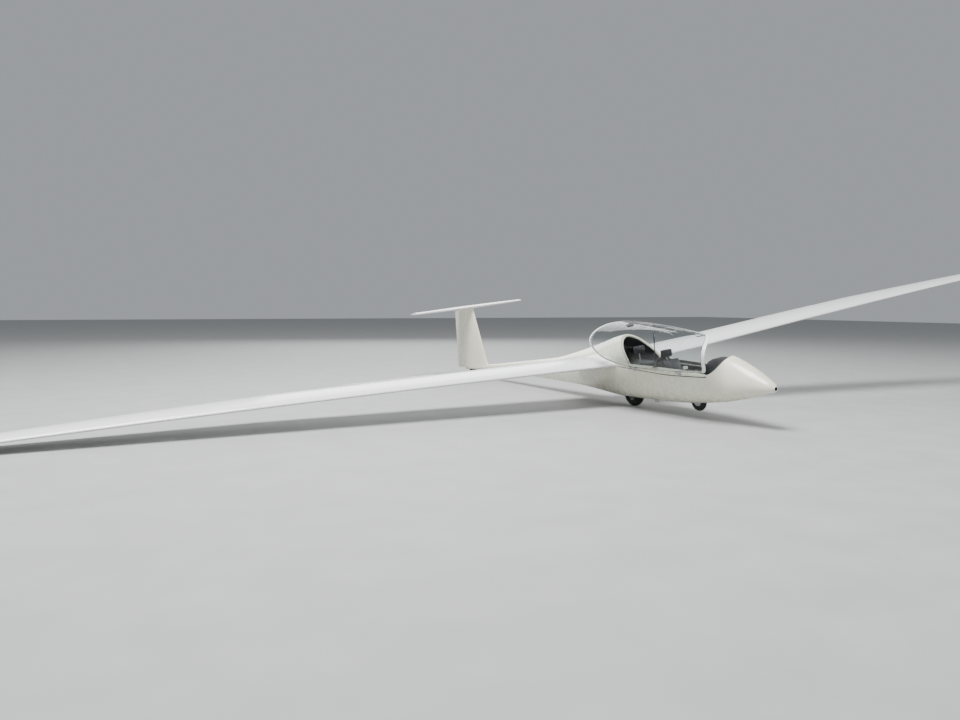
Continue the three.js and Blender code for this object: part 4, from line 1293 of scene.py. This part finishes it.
def build_seat(name):
    seat = SEATS[name]
    half = seat["half"] - 34
    shell = build_shell(name, seat)
    cushion = build_cushion(
        f"{name} seat cushion", f"{name}_seat_cushion", seat["pan"], half, (0.5,), half * 0.5,
    )
    foot, top = seat["back"]
    back_line = [tuple(lerp(a, b, 0.16) for a, b in zip(foot, top)), top]
    middle = tuple(lerp(a, b, 0.5) for a, b in zip(*back_line))
    shares = (0.3, 0.55, 0.8)
    back_line.insert(1, middle)
    back = build_cushion(
        f"{name} back cushion", f"{name}_back_cushion", back_line, half, shares, half * 0.56,
    )
    build_headrest(name, seat)
    build_harness(name, seat, surface_tree(shell, cushion, back))


def build_dial(x, station, height, radius, hand, marks=12):
    """A round instrument that faces aft: case ring, dark face, marks and hand."""
    centre = (x, station, height)
    aft = (0, 1, 0)
    ring = turned(
        "ring", [(0, radius * 1.1), (4, radius * 1.1), (5.5, radius), (5, radius * 0.93), (0, radius * 0.93)],
        centre, aft, BLACK, 40,
    )
    pieces = [ring, disc("face", centre, aft, radius * 0.95, 1.6, PANEL, 40)]
    for k in range(marks):
        angle = math.radians(225 - 270 * k / (marks - 1))
        c, s = math.cos(angle), math.sin(angle)
        ends = [(x + c * radius * r, station + 1.9, height + s * radius * r) for r in (0.7, 0.86)]
        pieces.append(tube("mark", ends, 0.9 if k % 3 else 1.5, MARK, 4))
    angle = math.radians(hand)
    tip = (x + math.cos(angle) * radius * 0.72, station + 2.8, height + math.sin(angle) * radius * 0.72)
    pieces.append(tube("hand", [(x, station + 2.8, height), tip], 1.2, MARK, 4))
    pieces.append(disc("boss", (x, station + 1.5, height), aft, radius * 0.13, 2.6, BLACK, 20))
    return pieces


def build_panel(name):
    panel = PANELS[name]
    station = panel["station"]
    half = panel["outline"]
    outline = rounded([*half, *[(-x, z) for x, z in reversed(half)]], 22, 6)
    plate = slab(f"{name} panel", outline, lambda u, v, w: (u, station + w, v), PANEL_THICKNESS, PANEL, 1.6)
    face = station + PANEL_THICKNESS
    pieces = [plate]
    for x, height, radius, hand in panel["dials"]:
        pieces += build_dial(x, face, height, radius, hand)
    for k in range(4):
        x = -39 + 26 * k
        pieces.append(disc("nut", (x, face, 545), (0, 1, 0), 6, 3, STEEL, 6))
        pieces.append(tube("switch", [(x, face + 2, 545), (x, face + 14, 549)], 2.2, STEEL, 8))
    radio = slab("radio", rectangle(70, 30, 4), facing_aft(0, face, 512), 5, BLACK, 1)
    pieces.append(radio)
    for x in (-24, 24):
        pieces.append(disc("radio knob", (x, face + 4, 512), (0, 1, 0), 8, 11, BLACK, 20, 1.5))
    window = slab("radio window", rectangle(26, 12, 2), facing_aft(0, face + 4.6, 512), 1.4, LAMINATE, 0.4)
    pieces.append(window)
    release = [(x, face + 16, 488) for x in (-16, 16)]
    pieces.append(tube("release stem", [(0, face, 488), (0, face + 18, 488)], 3, STEEL, 10))
    pieces.append(tube("release grip", release, 7, YELLOW, 14))
    placed(merged(f"{name} instrument panel", pieces), "airframe", "black_panel", f"{name}_instrument_panel")


def build_hood():
    """The moulded cover over the front instruments, with a padded rear edge."""
    rings = []
    for station, half, low, high in smooth_line(HOOD, 8):
        ring = []
        for i in range(72):
            angle = 2 * math.pi * i / 72
            up = math.sin(angle)
            height = low + (high - low) * up ** 0.8 if up > 0 else low
            x = half * math.copysign(abs(math.cos(angle)) ** 0.7, math.cos(angle))
            limit = half_width(station, height, SILL_WIDTH + 4)
            ring.append((clamp(x, -limit, limit), station, height))
        rings.append(ring)
    placed(loft("instrument cover", rings, HOOD_LOOK, 50), "airframe", "grey_laminate", "instrument_cover")
    edge = [(x, y - 1, z - 3) for x, y, z in rings[-1][:37]]
    placed(tube("cover edge", edge, 5.5, BLACK, 10), "airframe", "black_panel")


def build_stick(name):
    foot, top = STICKS[name]
    base, head = Vector((0, *foot)), Vector((0, *top))
    along = (head - base).normalized()
    length = (head - base).length
    grip = base.lerp(head, 0.68)
    reach = length * 0.32
    rod = tube("rod", [base, base.lerp(head, 0.35) + Vector((0, -6, 0)), grip], 10, DARK_METAL, 20)
    profile = [(0, 11), (4, 16)]
    for k in range(4):
        start = 8 + k * (reach - 34) / 4
        profile += [(start, 15.2), (start + (reach - 34) / 8, 17.6)]
    profile += [(reach - 22, 17), (reach - 10, 20), (reach - 2, 19), (reach + 1, 13)]
    handle = turned("grip", closed_profile(smooth_line(profile, 3)), grip, along, BLACK, 32)
    profile = closed_profile([(reach, 6), (reach + 4, 6), (reach + 5, 4)])
    button = turned("button", profile, grip, along, RED, 20)
    bellows = [(0, 46)]
    for k in range(5):
        bellows += [(4 + 11 * k, 44 - 7 * k), (9 + 11 * k, 34 - 5 * k)]
    bellows.append((62, 11))
    gaiter = turned("gaiter", closed_profile(bellows), base, along, SEAL, 32)
    placed(merged(f"{name} stick", [rod, handle, button, gaiter]), "airframe", "black_panel", f"{name}_stick")


def build_pedals(name):
    pedal = PEDALS[name]
    station, low, high = pedal["station"], pedal["low"], pedal["high"]
    inner, outer = pedal["inner"], pedal["outer"]
    pieces = [tube("bar", [(-outer, station + 13, low + 9), (outer, station + 13, low + 9)], 9, STEEL, 20)]
    for side in (-1, 1):
        middle = side * (inner + outer) / 2
        plate = rectangle(outer - inner, high - low, 8)
        pieces.append(slab("plate", plate, facing_aft(middle, station, (low + high) / 2), 10, ALLOY, 1.5))
        count = int((high - low) / 20)
        for k in range(count):
            height = low + 22 + k * (high - low - 30) / count
            reach = (outer - inner) * 0.38
            tread = [(middle + end * reach, station + 10.5, height) for end in (-1, 1)]
            pieces.append(tube("tread", tread, 3, SEAL, 8))
    placed(merged(f"{name} pedals", pieces), "airframe", "steel", f"{name}_pedals")


def build_controls():
    for name in STICKS:
        build_stick(name)
        build_pedals(name)
    knobs = {"brake": BLUE, "trim": GREEN}
    for name, station in SIDE_PANELS.items():
        for side, side_name in ((-1, "starboard"), (1, "port")):
            long, deep = rectangle(420, 70, 30, 6), rectangle(230, 110, 18, 5)
            arm = skin_plate("arm", side, station, 520, long, 16, LINING, -WALL - 19, 5)
            pocket = skin_plate("pocket", side, station + 40, 420, deep, 8, BLACK, -WALL - 11, 3)
            placed(merged(f"{name} side panel {side_name}", [arm, pocket]), "airframe", "grey_laminate")
        wall = -WALL - 19
        quadrant = skin_plate("quadrant", 1, station, 560, rectangle(210, 18, 6), 5, BLACK, wall - 2)
        placed(quadrant, "airframe", "black_panel")
        for label, along, height in LEVERS:
            path = [
                skin_point(1, station + along + a, height + up, wall - depth)
                for a, up, depth in ((0, 0, 2), (-4, 12, 22), (-10, 30, 34), (-16, 46, 38))
            ]
            lever(f"{name} {label} lever", path, 5, 14, knobs[label])
    station, height = HANDLE["station"], HANDLE["height"]
    grip = slab(
        "grip", rectangle(70, 34, 10, 5),
        lambda u, v, w: skin_point(-1, station + u, height + v, -46 - w), 18, PALE, 4,
    )
    ends = [skin_point(-1, station, height - 66, -40), skin_point(-1, station, height - 12, -54)]
    stem = tube("stem", ends, 6, STEEL, 12)
    placed(merged("starboard handle", [grip, stem]), "airframe", "white_gelcoat")


def build_stay():
    """The webbing that stops the open canopy, from a bracket on the starboard coaming to the port rail."""
    station = STAY["station"]
    top = over_height(station)
    corners = [(-80, -44), (92, -44), (18, 14), (-36, 14)]
    plate = slab(
        "stay plate", rounded(corners, 8, 4),
        lambda u, v, w: skin_point(-1, station + u, top + v, -COAMING_OUTER + 0.3 + w), 3,
        BLACK, 1,
    )
    placed(plate, "airframe", "black_panel")
    foot = Vector(skin_point(-1, station - 6, top - 4, -COAMING_OUTER + 3))
    turn = FROM_ROW @ canopy_turn() @ TO_ROW
    rail = turn @ Vector(skin_point(1, STAY["rail_station"], STAY["rail_height"], -FRAME_INNER - 1))
    along = (rail - foot).normalized()
    across = Vector((0, 1, 0))
    side = (across - along * across.dot(along)).normalized()
    up = along.cross(side)
    edge = ((-1, 0), (-0.9, 1), (0, 1.2), (0.9, 1), (1, 0), (0.9, -1), (0, -1.2), (-0.9, -1))
    profile = [side * u * STAY["half_width"] + up * v * STAY["half_thickness"] for u, v in edge]
    steps = 24
    rings = []
    for k in range(steps + 1):
        place = foot.lerp(rail, k / steps)
        rings.append([place + offset for offset in profile])
    webbing = loft("canopy stay", rings, WEBBING, 50)
    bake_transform(webbing)


def over_height(station):
    """Height of the coaming's top at a station."""
    line = edge_line(lambda _, lip: -lip)
    i = int(clamp(bisect_right([y for y, _ in line], station) - 1, 0, len(line) - 2))
    (y0, z0), (y1, z1) = line[i], line[i + 1]
    return lerp(z0, z1, (station - y0) / (y1 - y0))


# Wings and tail


def row_at(rows, distance):
    i = int(clamp(bisect_right([row[0] for row in rows], distance) - 1, 0, len(rows) - 2))
    u = (distance - rows[i][0]) / (rows[i + 1][0] - rows[i][0])
    return [lerp(a, b, u) for a, b in zip(rows[i][1:], rows[i + 1][1:])]


def section_point(side, distance, row, share, height, incidence):
    lead, chord, lead_height = row[:3]
    along, up = share * chord, height * chord
    angle = math.radians(incidence)
    return (
        side * distance,
        lead + along * math.cos(angle) + up * math.sin(angle),
        lead_height - along * math.sin(angle) + up * math.cos(angle),
    )


def fine_foil(foil, steps=5):
    """The aerofoil through its points, spaced by the root of the chord so that the nose stays round."""
    rows = [(math.sqrt(share), top, low) for share, top, low in foil]
    return [(root ** 2, top, low) for root, top, low in smooth_line(rows, steps)]


WING_FOIL = fine_foil(AEROFOIL)
TAIL_FOIL = fine_foil(TAIL_AEROFOIL)


def foil_ring(foil, side, distance, row, incidence, thickness):
    upper = [(share, top * thickness) for share, top, _ in reversed(foil)]
    lower = [(share, low * thickness) for share, _, low in foil[1:]]
    return [section_point(side, distance, row, share, height, incidence) for share, height in upper + lower]


def flap_ring(surface, side, distance, grow):
    row = row_at(surface["rows"], distance)
    thickness = surface["thickness"](row)
    hinge = surface["hinge"](row)
    top, low = [height * thickness for height in row_at(surface["foil"], hinge)]
    middle = (top + low) / 2
    radius = (top - low) / 2 + grow / row[1]
    nose = []
    for i in range(17):
        angle = math.pi / 2 + math.pi * i / 16
        nose.append((hinge + radius * math.cos(angle), middle + radius * math.sin(angle)))
    if grow > 0:
        upper, lower = [(1.1, middle + radius)], [(1.1, middle - radius)]
    else:
        shares = [lerp(hinge, 1, k / 8) for k in range(1, 9)]
        behind = [(share, *row_at(surface["foil"], share)) for share in shares]
        upper = [(share, up * thickness) for share, up, _ in reversed(behind)]
        lower = [(share, down * thickness) for share, _, down in behind]
    angle = surface["incidence"]
    return [
        section_point(side, distance, row, share, height, angle) for share, height in upper + nose + lower
    ]


def surface_body(name, surface, side, start, end, grow, steps=10):
    marks = [row[0] for row in surface["rows"] if start + 60 < row[0] < end - 60]
    line = [start, *marks, end]
    stations = []
    for a, b in zip(line, line[1:]):
        stations += [lerp(a, b, k / steps) for k in range(steps)]
    stations.append(end)
    return loft(name, [flap_ring(surface, side, mark, grow) for mark in stations])


def wing_surface(hinge):
    return {
        "foil": WING_FOIL, "rows": WING, "incidence": WING_INCIDENCE,
        "thickness": lambda row: row[3], "hinge": lambda row: hinge,
    }


def elevator_hinge(row):
    return (ELEVATOR["hinge"] - row[0]) / (row[1] * math.cos(math.radians(TAILPLANE_INCIDENCE)))


ELEVATOR_SURFACE = {
    "foil": TAIL_FOIL, "rows": TAILPLANE, "incidence": TAILPLANE_INCIDENCE,
    "thickness": lambda row: TAILPLANE_THICKNESS, "hinge": elevator_hinge,
}


def wing_body(side):
    rings = []
    for a, b in zip(WING, WING[1:]):
        for k in range(8):
            row = [lerp(p, q, k / 8) for p, q in zip(a, b)]
            rings.append(foil_ring(WING_FOIL, side, row[0], row[1:], WING_INCIDENCE, row[4]))
    last = WING[-1]
    rings.append(foil_ring(WING_FOIL, side, last[0], last[1:], WING_INCIDENCE, last[4]))
    rounding = smooth_line([(140, 1.0, 1.0), *TIP_ROUNDING], 4)[4:]
    for inboard, chord_share, thick_share in rounding:
        lead, chord, height, thickness = row_at(WING, SPAN_HALF - inboard)
        row = [lead + chord * (1 - chord_share) / 2, chord * chord_share, height]
        rings.append(foil_ring(
            WING_FOIL, side, SPAN_HALF - inboard, row, WING_INCIDENCE, thickness * max(thick_share, 0.1),
        ))
    return loft(f"wing {side}", rings, None, 50)


def brake_block(side, start, end, half, low, high):
    rings = []
    for distance in (start, end):
        row = row_at(WING, distance)
        height = row_at(WING_FOIL, BRAKE["share"])[0] * row[3]
        x, y, z = section_point(side, distance, row, BRAKE["share"], height, 0)
        rings.append([
            (x, y + along, z + up) for along, up in ((-half, low), (half, low), (half, high), (-half, high))
        ])
    return loft("brake", rings)


def build_wing(side, name):
    wing = wing_body(side)
    cut(wing, hull_body("hull", -400, 1500, -1, 60, 96))
    for surface_name, inboard, outboard, hinge in WING_FLAPS:
        surface = wing_surface(hinge)
        cut(wing, surface_body("room", surface, side, inboard - WING_GAP, outboard + WING_GAP, WING_GAP))
        flap = surface_body(f"{surface_name} {name}", surface, side, inboard, outboard, 0)
        dressed(flap, WHITE, 40)
        node = f"{surface_name}_{name}"
        placed(flap, node, "white_gelcoat", node)
    inboard, outboard, cap = BRAKE["inboard"], BRAKE["outboard"], BRAKE["cap"]
    cut(wing, brake_block(side, inboard - 8, outboard + 8, cap / 2 + 6, -BRAKE["height"] - 14, 60))
    dressed(wing, WHITE, 40)
    placed(wing, "airframe", "white_gelcoat", f"wing_{name}")
    build_fillet(side, name)


def build_fillet(side, name, reach=30):
    """The hollow fillet between the wing and the fuselage."""
    foil = [(share, top, low) for share, top, low in WING_FOIL]
    shares = [(share, top) for share, top, _ in reversed(foil)] + [(share, low) for share, _, low in foil[1:]]
    line = []
    for share, height in shares:
        distance = 300
        for _ in range(6):
            row = row_at(WING, distance)
            point = section_point(side, distance, row, share, height * row[3], WING_INCIDENCE)
            distance = half_width(point[1], point[2])
        line.append((share, height, distance, point))
    rings = []
    for i, (share, height, distance, point) in enumerate(line):
        before, after = line[max(i - 1, 0)][3], line[min(i + 1, len(line) - 1)][3]
        along = Vector((after[1] - before[1], after[2] - before[2])).normalized()
        out = Vector((along.y, -along.x))
        if i in (0, len(line) - 1):
            out = Vector((0, 1 if i == 0 else -1))
        row = row_at(WING, distance + reach)
        outer = section_point(side, distance + reach, row, share, height * row[3], WING_INCIDENCE)
        outer = Vector((outer[0], outer[1] - out.x * 0.8, outer[2] - out.y * 0.8))
        station, level = point[1] + out.x * reach, point[2] + out.y * reach
        inner = Vector((side * (half_width(station, level) - 1), station, level))
        corner = Vector((side * (distance + 1), point[1] + out.x, point[2] + out.y))
        ring = []
        for k in range(9):
            u = k / 8
            ring.append(outer * (1 - u) ** 2 + corner * (2 * u * (1 - u)) + inner * u ** 2)
        root = Vector((side * (distance - 8), point[1] - out.x * 5, point[2] - out.y * 5))
        rings.append([*ring, root])
    fillet = loft(f"wing fillet {name}", rings, CREAM, 50)
    placed(fillet, "airframe", "cream_gelcoat")


def fin_half(share):
    return row_at(TAIL_FOIL, share)[0] / (2 * max(row[1] for row in TAIL_FOIL))


def fin_ring(u, forward):
    lead = [lerp(a, b, u) for a, b in zip(FIN["lead_foot"], FIN["lead_top"])]
    trail = [lerp(a, b, u) for a, b in zip(FIN["trail_foot"], FIN["trail_top"])]
    lead[0] -= forward
    chord = trail[0] - lead[0]

    def point(share, side):
        x = side * fin_half(share) * FIN_THICKNESS * chord
        return (x, lerp(lead[0], trail[0], share), lerp(lead[1], trail[1], share))

    shares = [row[0] for row in TAIL_FOIL]
    return [point(share, 1) for share in reversed(shares)] + [point(share, -1) for share in shares[1:]]


def fin_body():
    fillet = smooth_line(FIN_FILLET[:-1], 3)
    rows = [row for row in fillet] + [(lerp(FIN_FILLET[-2][0], 1, k / 6), 0) for k in range(1, 7)]
    return loft("fin", [fin_ring(u, forward) for u, forward in rows], None, 50)


def hinge_station(height):
    u = (height - RUDDER["foot"]) / (RUDDER["top"] - RUDDER["foot"])
    return lerp(RUDDER["hinge_foot"], RUDDER["hinge_top"], u)


def rudder_rod(grow):
    rings = []
    for height in (RUDDER["foot"] - 60, HIGH):
        u = (height - FIN["lead_foot"][1]) / (FIN["lead_top"][1] - FIN["lead_foot"][1])
        lead = lerp(FIN["lead_foot"][0], FIN["lead_top"][0], u)
        trail = lerp(FIN["trail_foot"][0], FIN["trail_top"][0], u)
        share = (hinge_station(height) - lead) / (trail - lead)
        radius = fin_half(share) * FIN_THICKNESS * (trail - lead) + grow
        rings.append([
            (radius * math.cos(a), hinge_station(height) + radius * math.sin(a), height)
            for a in (2 * math.pi * i / 64 for i in range(64))
        ])
    return loft("hinge", rings)


def behind_hinge():
    low = RUDDER["foot"] - 60
    outline = [(hinge_station(low), low), (6200, low), (6200, HIGH), (hinge_station(HIGH), HIGH)]
    return side_extrusion("behind", outline, -WIDE, WIDE)


def tailplane_body():
    rows = []
    for a, b in zip(TAILPLANE[:3], TAILPLANE[1:3]):
        rows += [[lerp(p, q, k / 6) for p, q in zip(a, b)] for k in range(6)]
    rows += smooth_line([TAILPLANE[2], TAILPLANE[3], TAILPLANE[4]], 3)
    halves = [(-1, row) for row in reversed(rows)] + [(1, row) for row in rows[1:]]
    rings = [
        foil_ring(TAIL_FOIL, side, row[0], row[1:], TAILPLANE_INCIDENCE, TAILPLANE_THICKNESS)
        for side, row in halves
    ]
    return loft("tailplane", rings, None, 50)


def largest_part(obj):
    shape = bmesh.new()
    shape.from_mesh(obj.data)
    left = set(shape.verts)
    groups = []
    while left:
        stack = [left.pop()]
        group = set(stack)
        while stack:
            for edge in stack.pop().link_edges:
                for vertex in edge.verts:
                    if vertex in left:
                        left.discard(vertex)
                        group.add(vertex)
                        stack.append(vertex)
        groups.append(group)
    biggest = max(groups, key=len)
    bmesh.ops.delete(shape, geom=[v for v in shape.verts if v not in biggest], context="VERTS")
    shape.to_mesh(obj.data)
    shape.free()
    return obj


def build_tail():
    tail = HULL[-1][0]
    fin = fin_body()
    boom = hull_body("boom", POD_END, tail + 0.3, -0.3, 80, 96)
    cut(fin, rudder_rod(6), behind_hinge(), boom, tailplane_body())
    largest_part(fin)
    dressed(fin, CREAM, 40)
    placed(fin, "airframe", "cream_gelcoat", "fin")
    rudder = fin_body()
    keep(rudder, join(behind_hinge(), rudder_rod(0)))
    foot, top = RUDDER["foot"], RUDDER["top"]
    band = [(5300, foot + 12), (6200, foot - 14), (6200, top - 26), (5300, top + 12)]
    keep(rudder, side_extrusion("band", band, -WIDE, WIDE))
    dressed(rudder, CREAM, 40)
    placed(rudder, "rudder", "cream_gelcoat", "rudder")
    plane = tailplane_body()
    for side, name in ((1, "port"), (-1, "starboard")):
        inboard, outboard = ELEVATOR["inboard"], ELEVATOR["outboard"]
        cut(plane, surface_body("room", ELEVATOR_SURFACE, side, inboard - 6, outboard + 6, 6))
        half = surface_body(f"elevator {name}", ELEVATOR_SURFACE, side, inboard, outboard, 0)
        dressed(half, WHITE, 40)
        placed(half, "elevator", "white_gelcoat", f"elevator_{name}")
    dressed(plane, WHITE, 40)
    placed(plane, "airframe", "white_gelcoat", "tailplane")


# Wheels


def belly_height(station, x):
    """Height of the fuselage's underside at a distance from the middle."""
    low, high = -math.pi / 2, 0.0
    for _ in range(24):
        angle = (low + high) / 2
        if abs(hull_point(station, angle)[0]) < x:
            low = angle
        else:
            high = angle
    return hull_point(station, angle)[2]


def build_hub(name, wheel):
    station, height, width, rim = wheel["station"], wheel["height"], wheel["width"], wheel["rim"]
    seat = width * 0.33
    web = width * 0.12
    half = [
        (width * 0.36, 15), (width * 0.36, 27), (width * 0.345, 30), (width * 0.16, 33), (web + 1, 37),
        (web, 42),
        (web, rim - 18), (web + 2, rim - 14), (seat - 4, rim - 9), (seat + 3, rim - 7), (seat + 4, rim - 1),
        (seat + 1, rim + 3), (seat - 1, rim + 3.4), (seat - 8, rim - 1), (web, rim - 2),
    ]
    profile = [(-x, r) for x, r in half] + [(x, r) for x, r in reversed(half)]
    centre = Vector((0, station, height))
    pieces = [turned("hub", profile, centre, (1, 0, 0), ALLOY, 72, 34)]
    middle = (42 + rim - 18) / 2
    for side in (-1, 1):
        for k in range(6):
            angle = 2 * math.pi * k / 6
            spot = centre + Vector((side * web, math.cos(angle) * middle, math.sin(angle) * middle))
            pieces.append(disc("bolt", spot, (side, 0, 0), 6.5, 6, STEEL, 6, 0.8))
            across = Vector((0, math.cos(angle + 0.52), math.sin(angle + 0.52)))
            start = centre + Vector((side * (web + 0.5), 0, 0)) + across * 38
            end = centre + Vector((side * (web + 2), 0, 0)) + across * (rim - 12)
            pieces.append(tube("rib", [start, end], 4.5, ALLOY, 10))
    if name == "main_wheel":
        profile = closed_profile([(web + 8, rim - 22), (web + 13, rim - 22)])
        pieces.append(turned("brake disc", profile, centre, (-1, 0, 0), STEEL, 60))
    valve = centre + Vector((web, 0, rim - 12))
    pieces.append(tube("valve", [valve, valve + Vector((16, 0, -6))], 3.2, BLACK, 10))
    placed(merged(f"{name} hub", pieces), name, "steel", f"{name}_hub")


def build_well_lip(name, well):
    """The rounded edge around a wheel's opening in the belly."""
    front, rear, half = well["front"], well["rear"], well["half"]
    line = []
    for x, station in rectangle(2 * half, rear - front, 14, 4):
        line.append((x, station + (front + rear) / 2))
    fine = []
    for a, b in zip(line, line[1:] + line[:1]):
        steps = max(int(math.dist(a, b) / 16), 1)
        fine += [(lerp(a[0], b[0], k / steps), lerp(a[1], b[1], k / steps)) for k in range(steps)]
    path = [(x, station, belly_height(station, abs(x)) + 1) for x, station in fine]
    placed(tube(f"{name} opening lip", path, 3, SEAL, 8, True), "airframe", "skid_rubber")


def build_wheel(name, wheel, well):
    build_hub(name, wheel)
    build_well_lip(name, well)
    station, radius, width = wheel["station"], wheel["radius"], wheel["width"]
    rim, height = wheel["rim"], wheel["height"]
    crown = width / 2
    seat = width * 0.33
    profile = [(-seat, rim + 4)]
    steps = 48
    for i in range(steps + 1):
        angle = math.radians(-105 + 210 * i / steps)
        x = crown * math.sin(angle)
        r = radius - crown + crown * math.cos(angle)
        for groove in (-0.36, -0.12, 0.12, 0.36):
            if abs(x / width - groove) < 0.022:
                r -= 3.2
        profile.append((x, r))
    profile += [(seat, rim + 4), (-seat, rim + 4)]
    tyre = turned(f"{name} tyre", profile, (0, station, height), (1, 0, 0), TYRE, 96, 28)
    placed(tyre, name, "tyre", f"{name}_tyre")


def build_skids():
    """The rubber skids under the wing tips and the tail, with the tail skid's wearing shoe."""
    distance, share = TIP_SKID["distance"], TIP_SKID["share"]
    row = row_at(WING, distance)
    low = section_point(1, distance, row, share, row_at(WING_FOIL, share)[1] * row[3], WING_INCIDENCE)
    station, under, half = low[1], low[2], TIP_SKID["length"] / 2
    drop, width = TIP_SKID["drop"], TIP_SKID["width"]
    sides = [(-1, -8), (-0.8, 12), (-0.35, drop), (0.45, drop), (0.9, 10), (1, -8)]
    outline = [(station + half * share, under - down) for share, down in sides]
    for side, name in ((1, "port"), (-1, "starboard")):
        start = side * distance - width / 2
        skid = slab(
            f"tip skid {name}", rounded(outline, 14, 5), lambda u, v, w: (start + w, u, v), width, SKID, 3,
        )
        placed(skid, "airframe", "skid_rubber", f"tip_skid_{name}")
    front, rear, width, crown = TAIL_SKID["front"], TAIL_SKID["rear"], TAIL_SKID["width"], TAIL_SKID["crown"]
    outline = [(front, 230), (front + 60, crown), (rear - 50, crown), (rear, 230)]
    block = slab("block", rounded(outline, 24, 6), lambda u, v, w: (w - width / 2, u, v), width, SKID, 7)
    shoe = turned(
        "shoe", closed_profile([(0, 6), (4, 16), (14, crown), (186, crown), (196, 16), (200, 6)]),
        (0, front + 50, crown), (0, 1, 0), DARK_METAL, 40,
    )
    placed(merged("tail skid", [block, shoe]), "airframe", "skid_rubber", "tail_skid")


# Stage


def build_stage():
    floor = bpy.data.meshes.new("floor")
    floor.from_pydata([(-60, -60, 0), (60, -60, 0), (60, 60, 0), (-60, 60, 0)], [], [(0, 1, 2, 3)])
    look = new_look("pale floor")
    clouds = noise(look, 2, 5)
    feed(look, "Base Color", ramp(look, clouds, (0.3, (0.36, 0.365, 0.36)), (0.7, (0.4, 0.405, 0.4))))
    feed(look, "Roughness", spread(look, noise(look, 8, 4), 0.7, 0.85))
    ground = add_object("floor", floor, look)
    ground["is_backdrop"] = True
    world = bpy.data.worlds.new("studio")
    bpy.context.scene.world = world
    world.use_nodes = True
    background = world.node_tree.nodes["Background"]
    background.inputs["Color"].default_value = (0.86, 0.9, 0.95, 1)
    background.inputs["Strength"].default_value = 0.42
    for name, place, power, size in (
        ("key", (-7, -3, 15), 6400, 8), ("fill", (15, -12, 8), 1200, 12), ("back", (4, 15, 10), 2000, 12),
    ):
        light = bpy.data.lights.new(name, "AREA")
        light.energy = power
        light.size = size
        lamp = bpy.data.objects.new(name, light)
        lamp.location = place
        lamp.rotation_euler = (Vector((0, 0, 0.6)) - Vector(place)).to_track_quat("-Z", "Y").to_euler()
        bpy.context.scene.collection.objects.link(lamp)


CAMERA = {
    "x": -7.614, "y": -9.371, "height": 1.526, "yaw": 27.943, "pitch": 4.125, "roll": 0.315, "lens": 29.776,
}


def build_camera():
    data = bpy.data.cameras.new("camera")
    data.lens = CAMERA["lens"]
    data.sensor_width = 36
    camera = bpy.data.objects.new("camera", data)
    shift = TO_ROW @ Vector((0, 0, 0))
    camera.location = (CAMERA["x"] + shift.x, CAMERA["y"] + shift.y, CAMERA["height"])
    yaw, pitch = math.radians(CAMERA["yaw"]), math.radians(CAMERA["pitch"])
    forward = Vector((math.sin(yaw) * math.cos(pitch), math.cos(yaw) * math.cos(pitch), -math.sin(pitch)))
    right = Vector((math.cos(yaw), -math.sin(yaw), 0))
    turn = Matrix((right, right.cross(forward), -forward)).transposed()
    turn = turn @ Matrix.Rotation(math.radians(CAMERA["roll"]), 3, "Z")
    camera.rotation_euler = turn.to_euler()
    bpy.context.scene.collection.objects.link(camera)
    bpy.context.scene.camera = camera


def dress_rest():
    """CAD nodes that stay in view take a look of their own."""
    looks = {
        "white_gelcoat": WHITE, "cream_gelcoat": CREAM, "skid_rubber": SKID, "dark_fabric": FABRIC,
        "grey_laminate": LAMINATE, "black_panel": PANEL, "steel": STEEL, "tyre": TYRE,
        "canopy_acrylic": ACRYLIC,
    }
    slots = {part["node"]: part["material_slot"] for part in frame["record"]["subparts"]}
    for name, node in frame["nodes"].items():
        for index in range(len(node.material_slots)):
            node.material_slots[index].material = looks[slots[name]]


dress_rest()
build_pod()
build_boom()
build_sill()
build_nose()
build_canopy()
build_hinges()
for seat in SEATS:
    build_seat(seat)
for panel in PANELS:
    build_panel(panel)
build_hood()
build_controls()
build_stay()
build_wing(1, "port")
build_wing(-1, "starboard")
build_tail()
build_wheel("main_wheel", MAIN_WHEEL, MAIN_WELL)
build_wheel("nose_wheel", NOSE_WHEEL, NOSE_WELL)
build_skids()
build_stage()
build_camera()

boxes = {"cad": CAD_BOUNDS, "visual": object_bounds()}
{name: [list(corner) for corner in corners] for name, corners in boxes.items()}
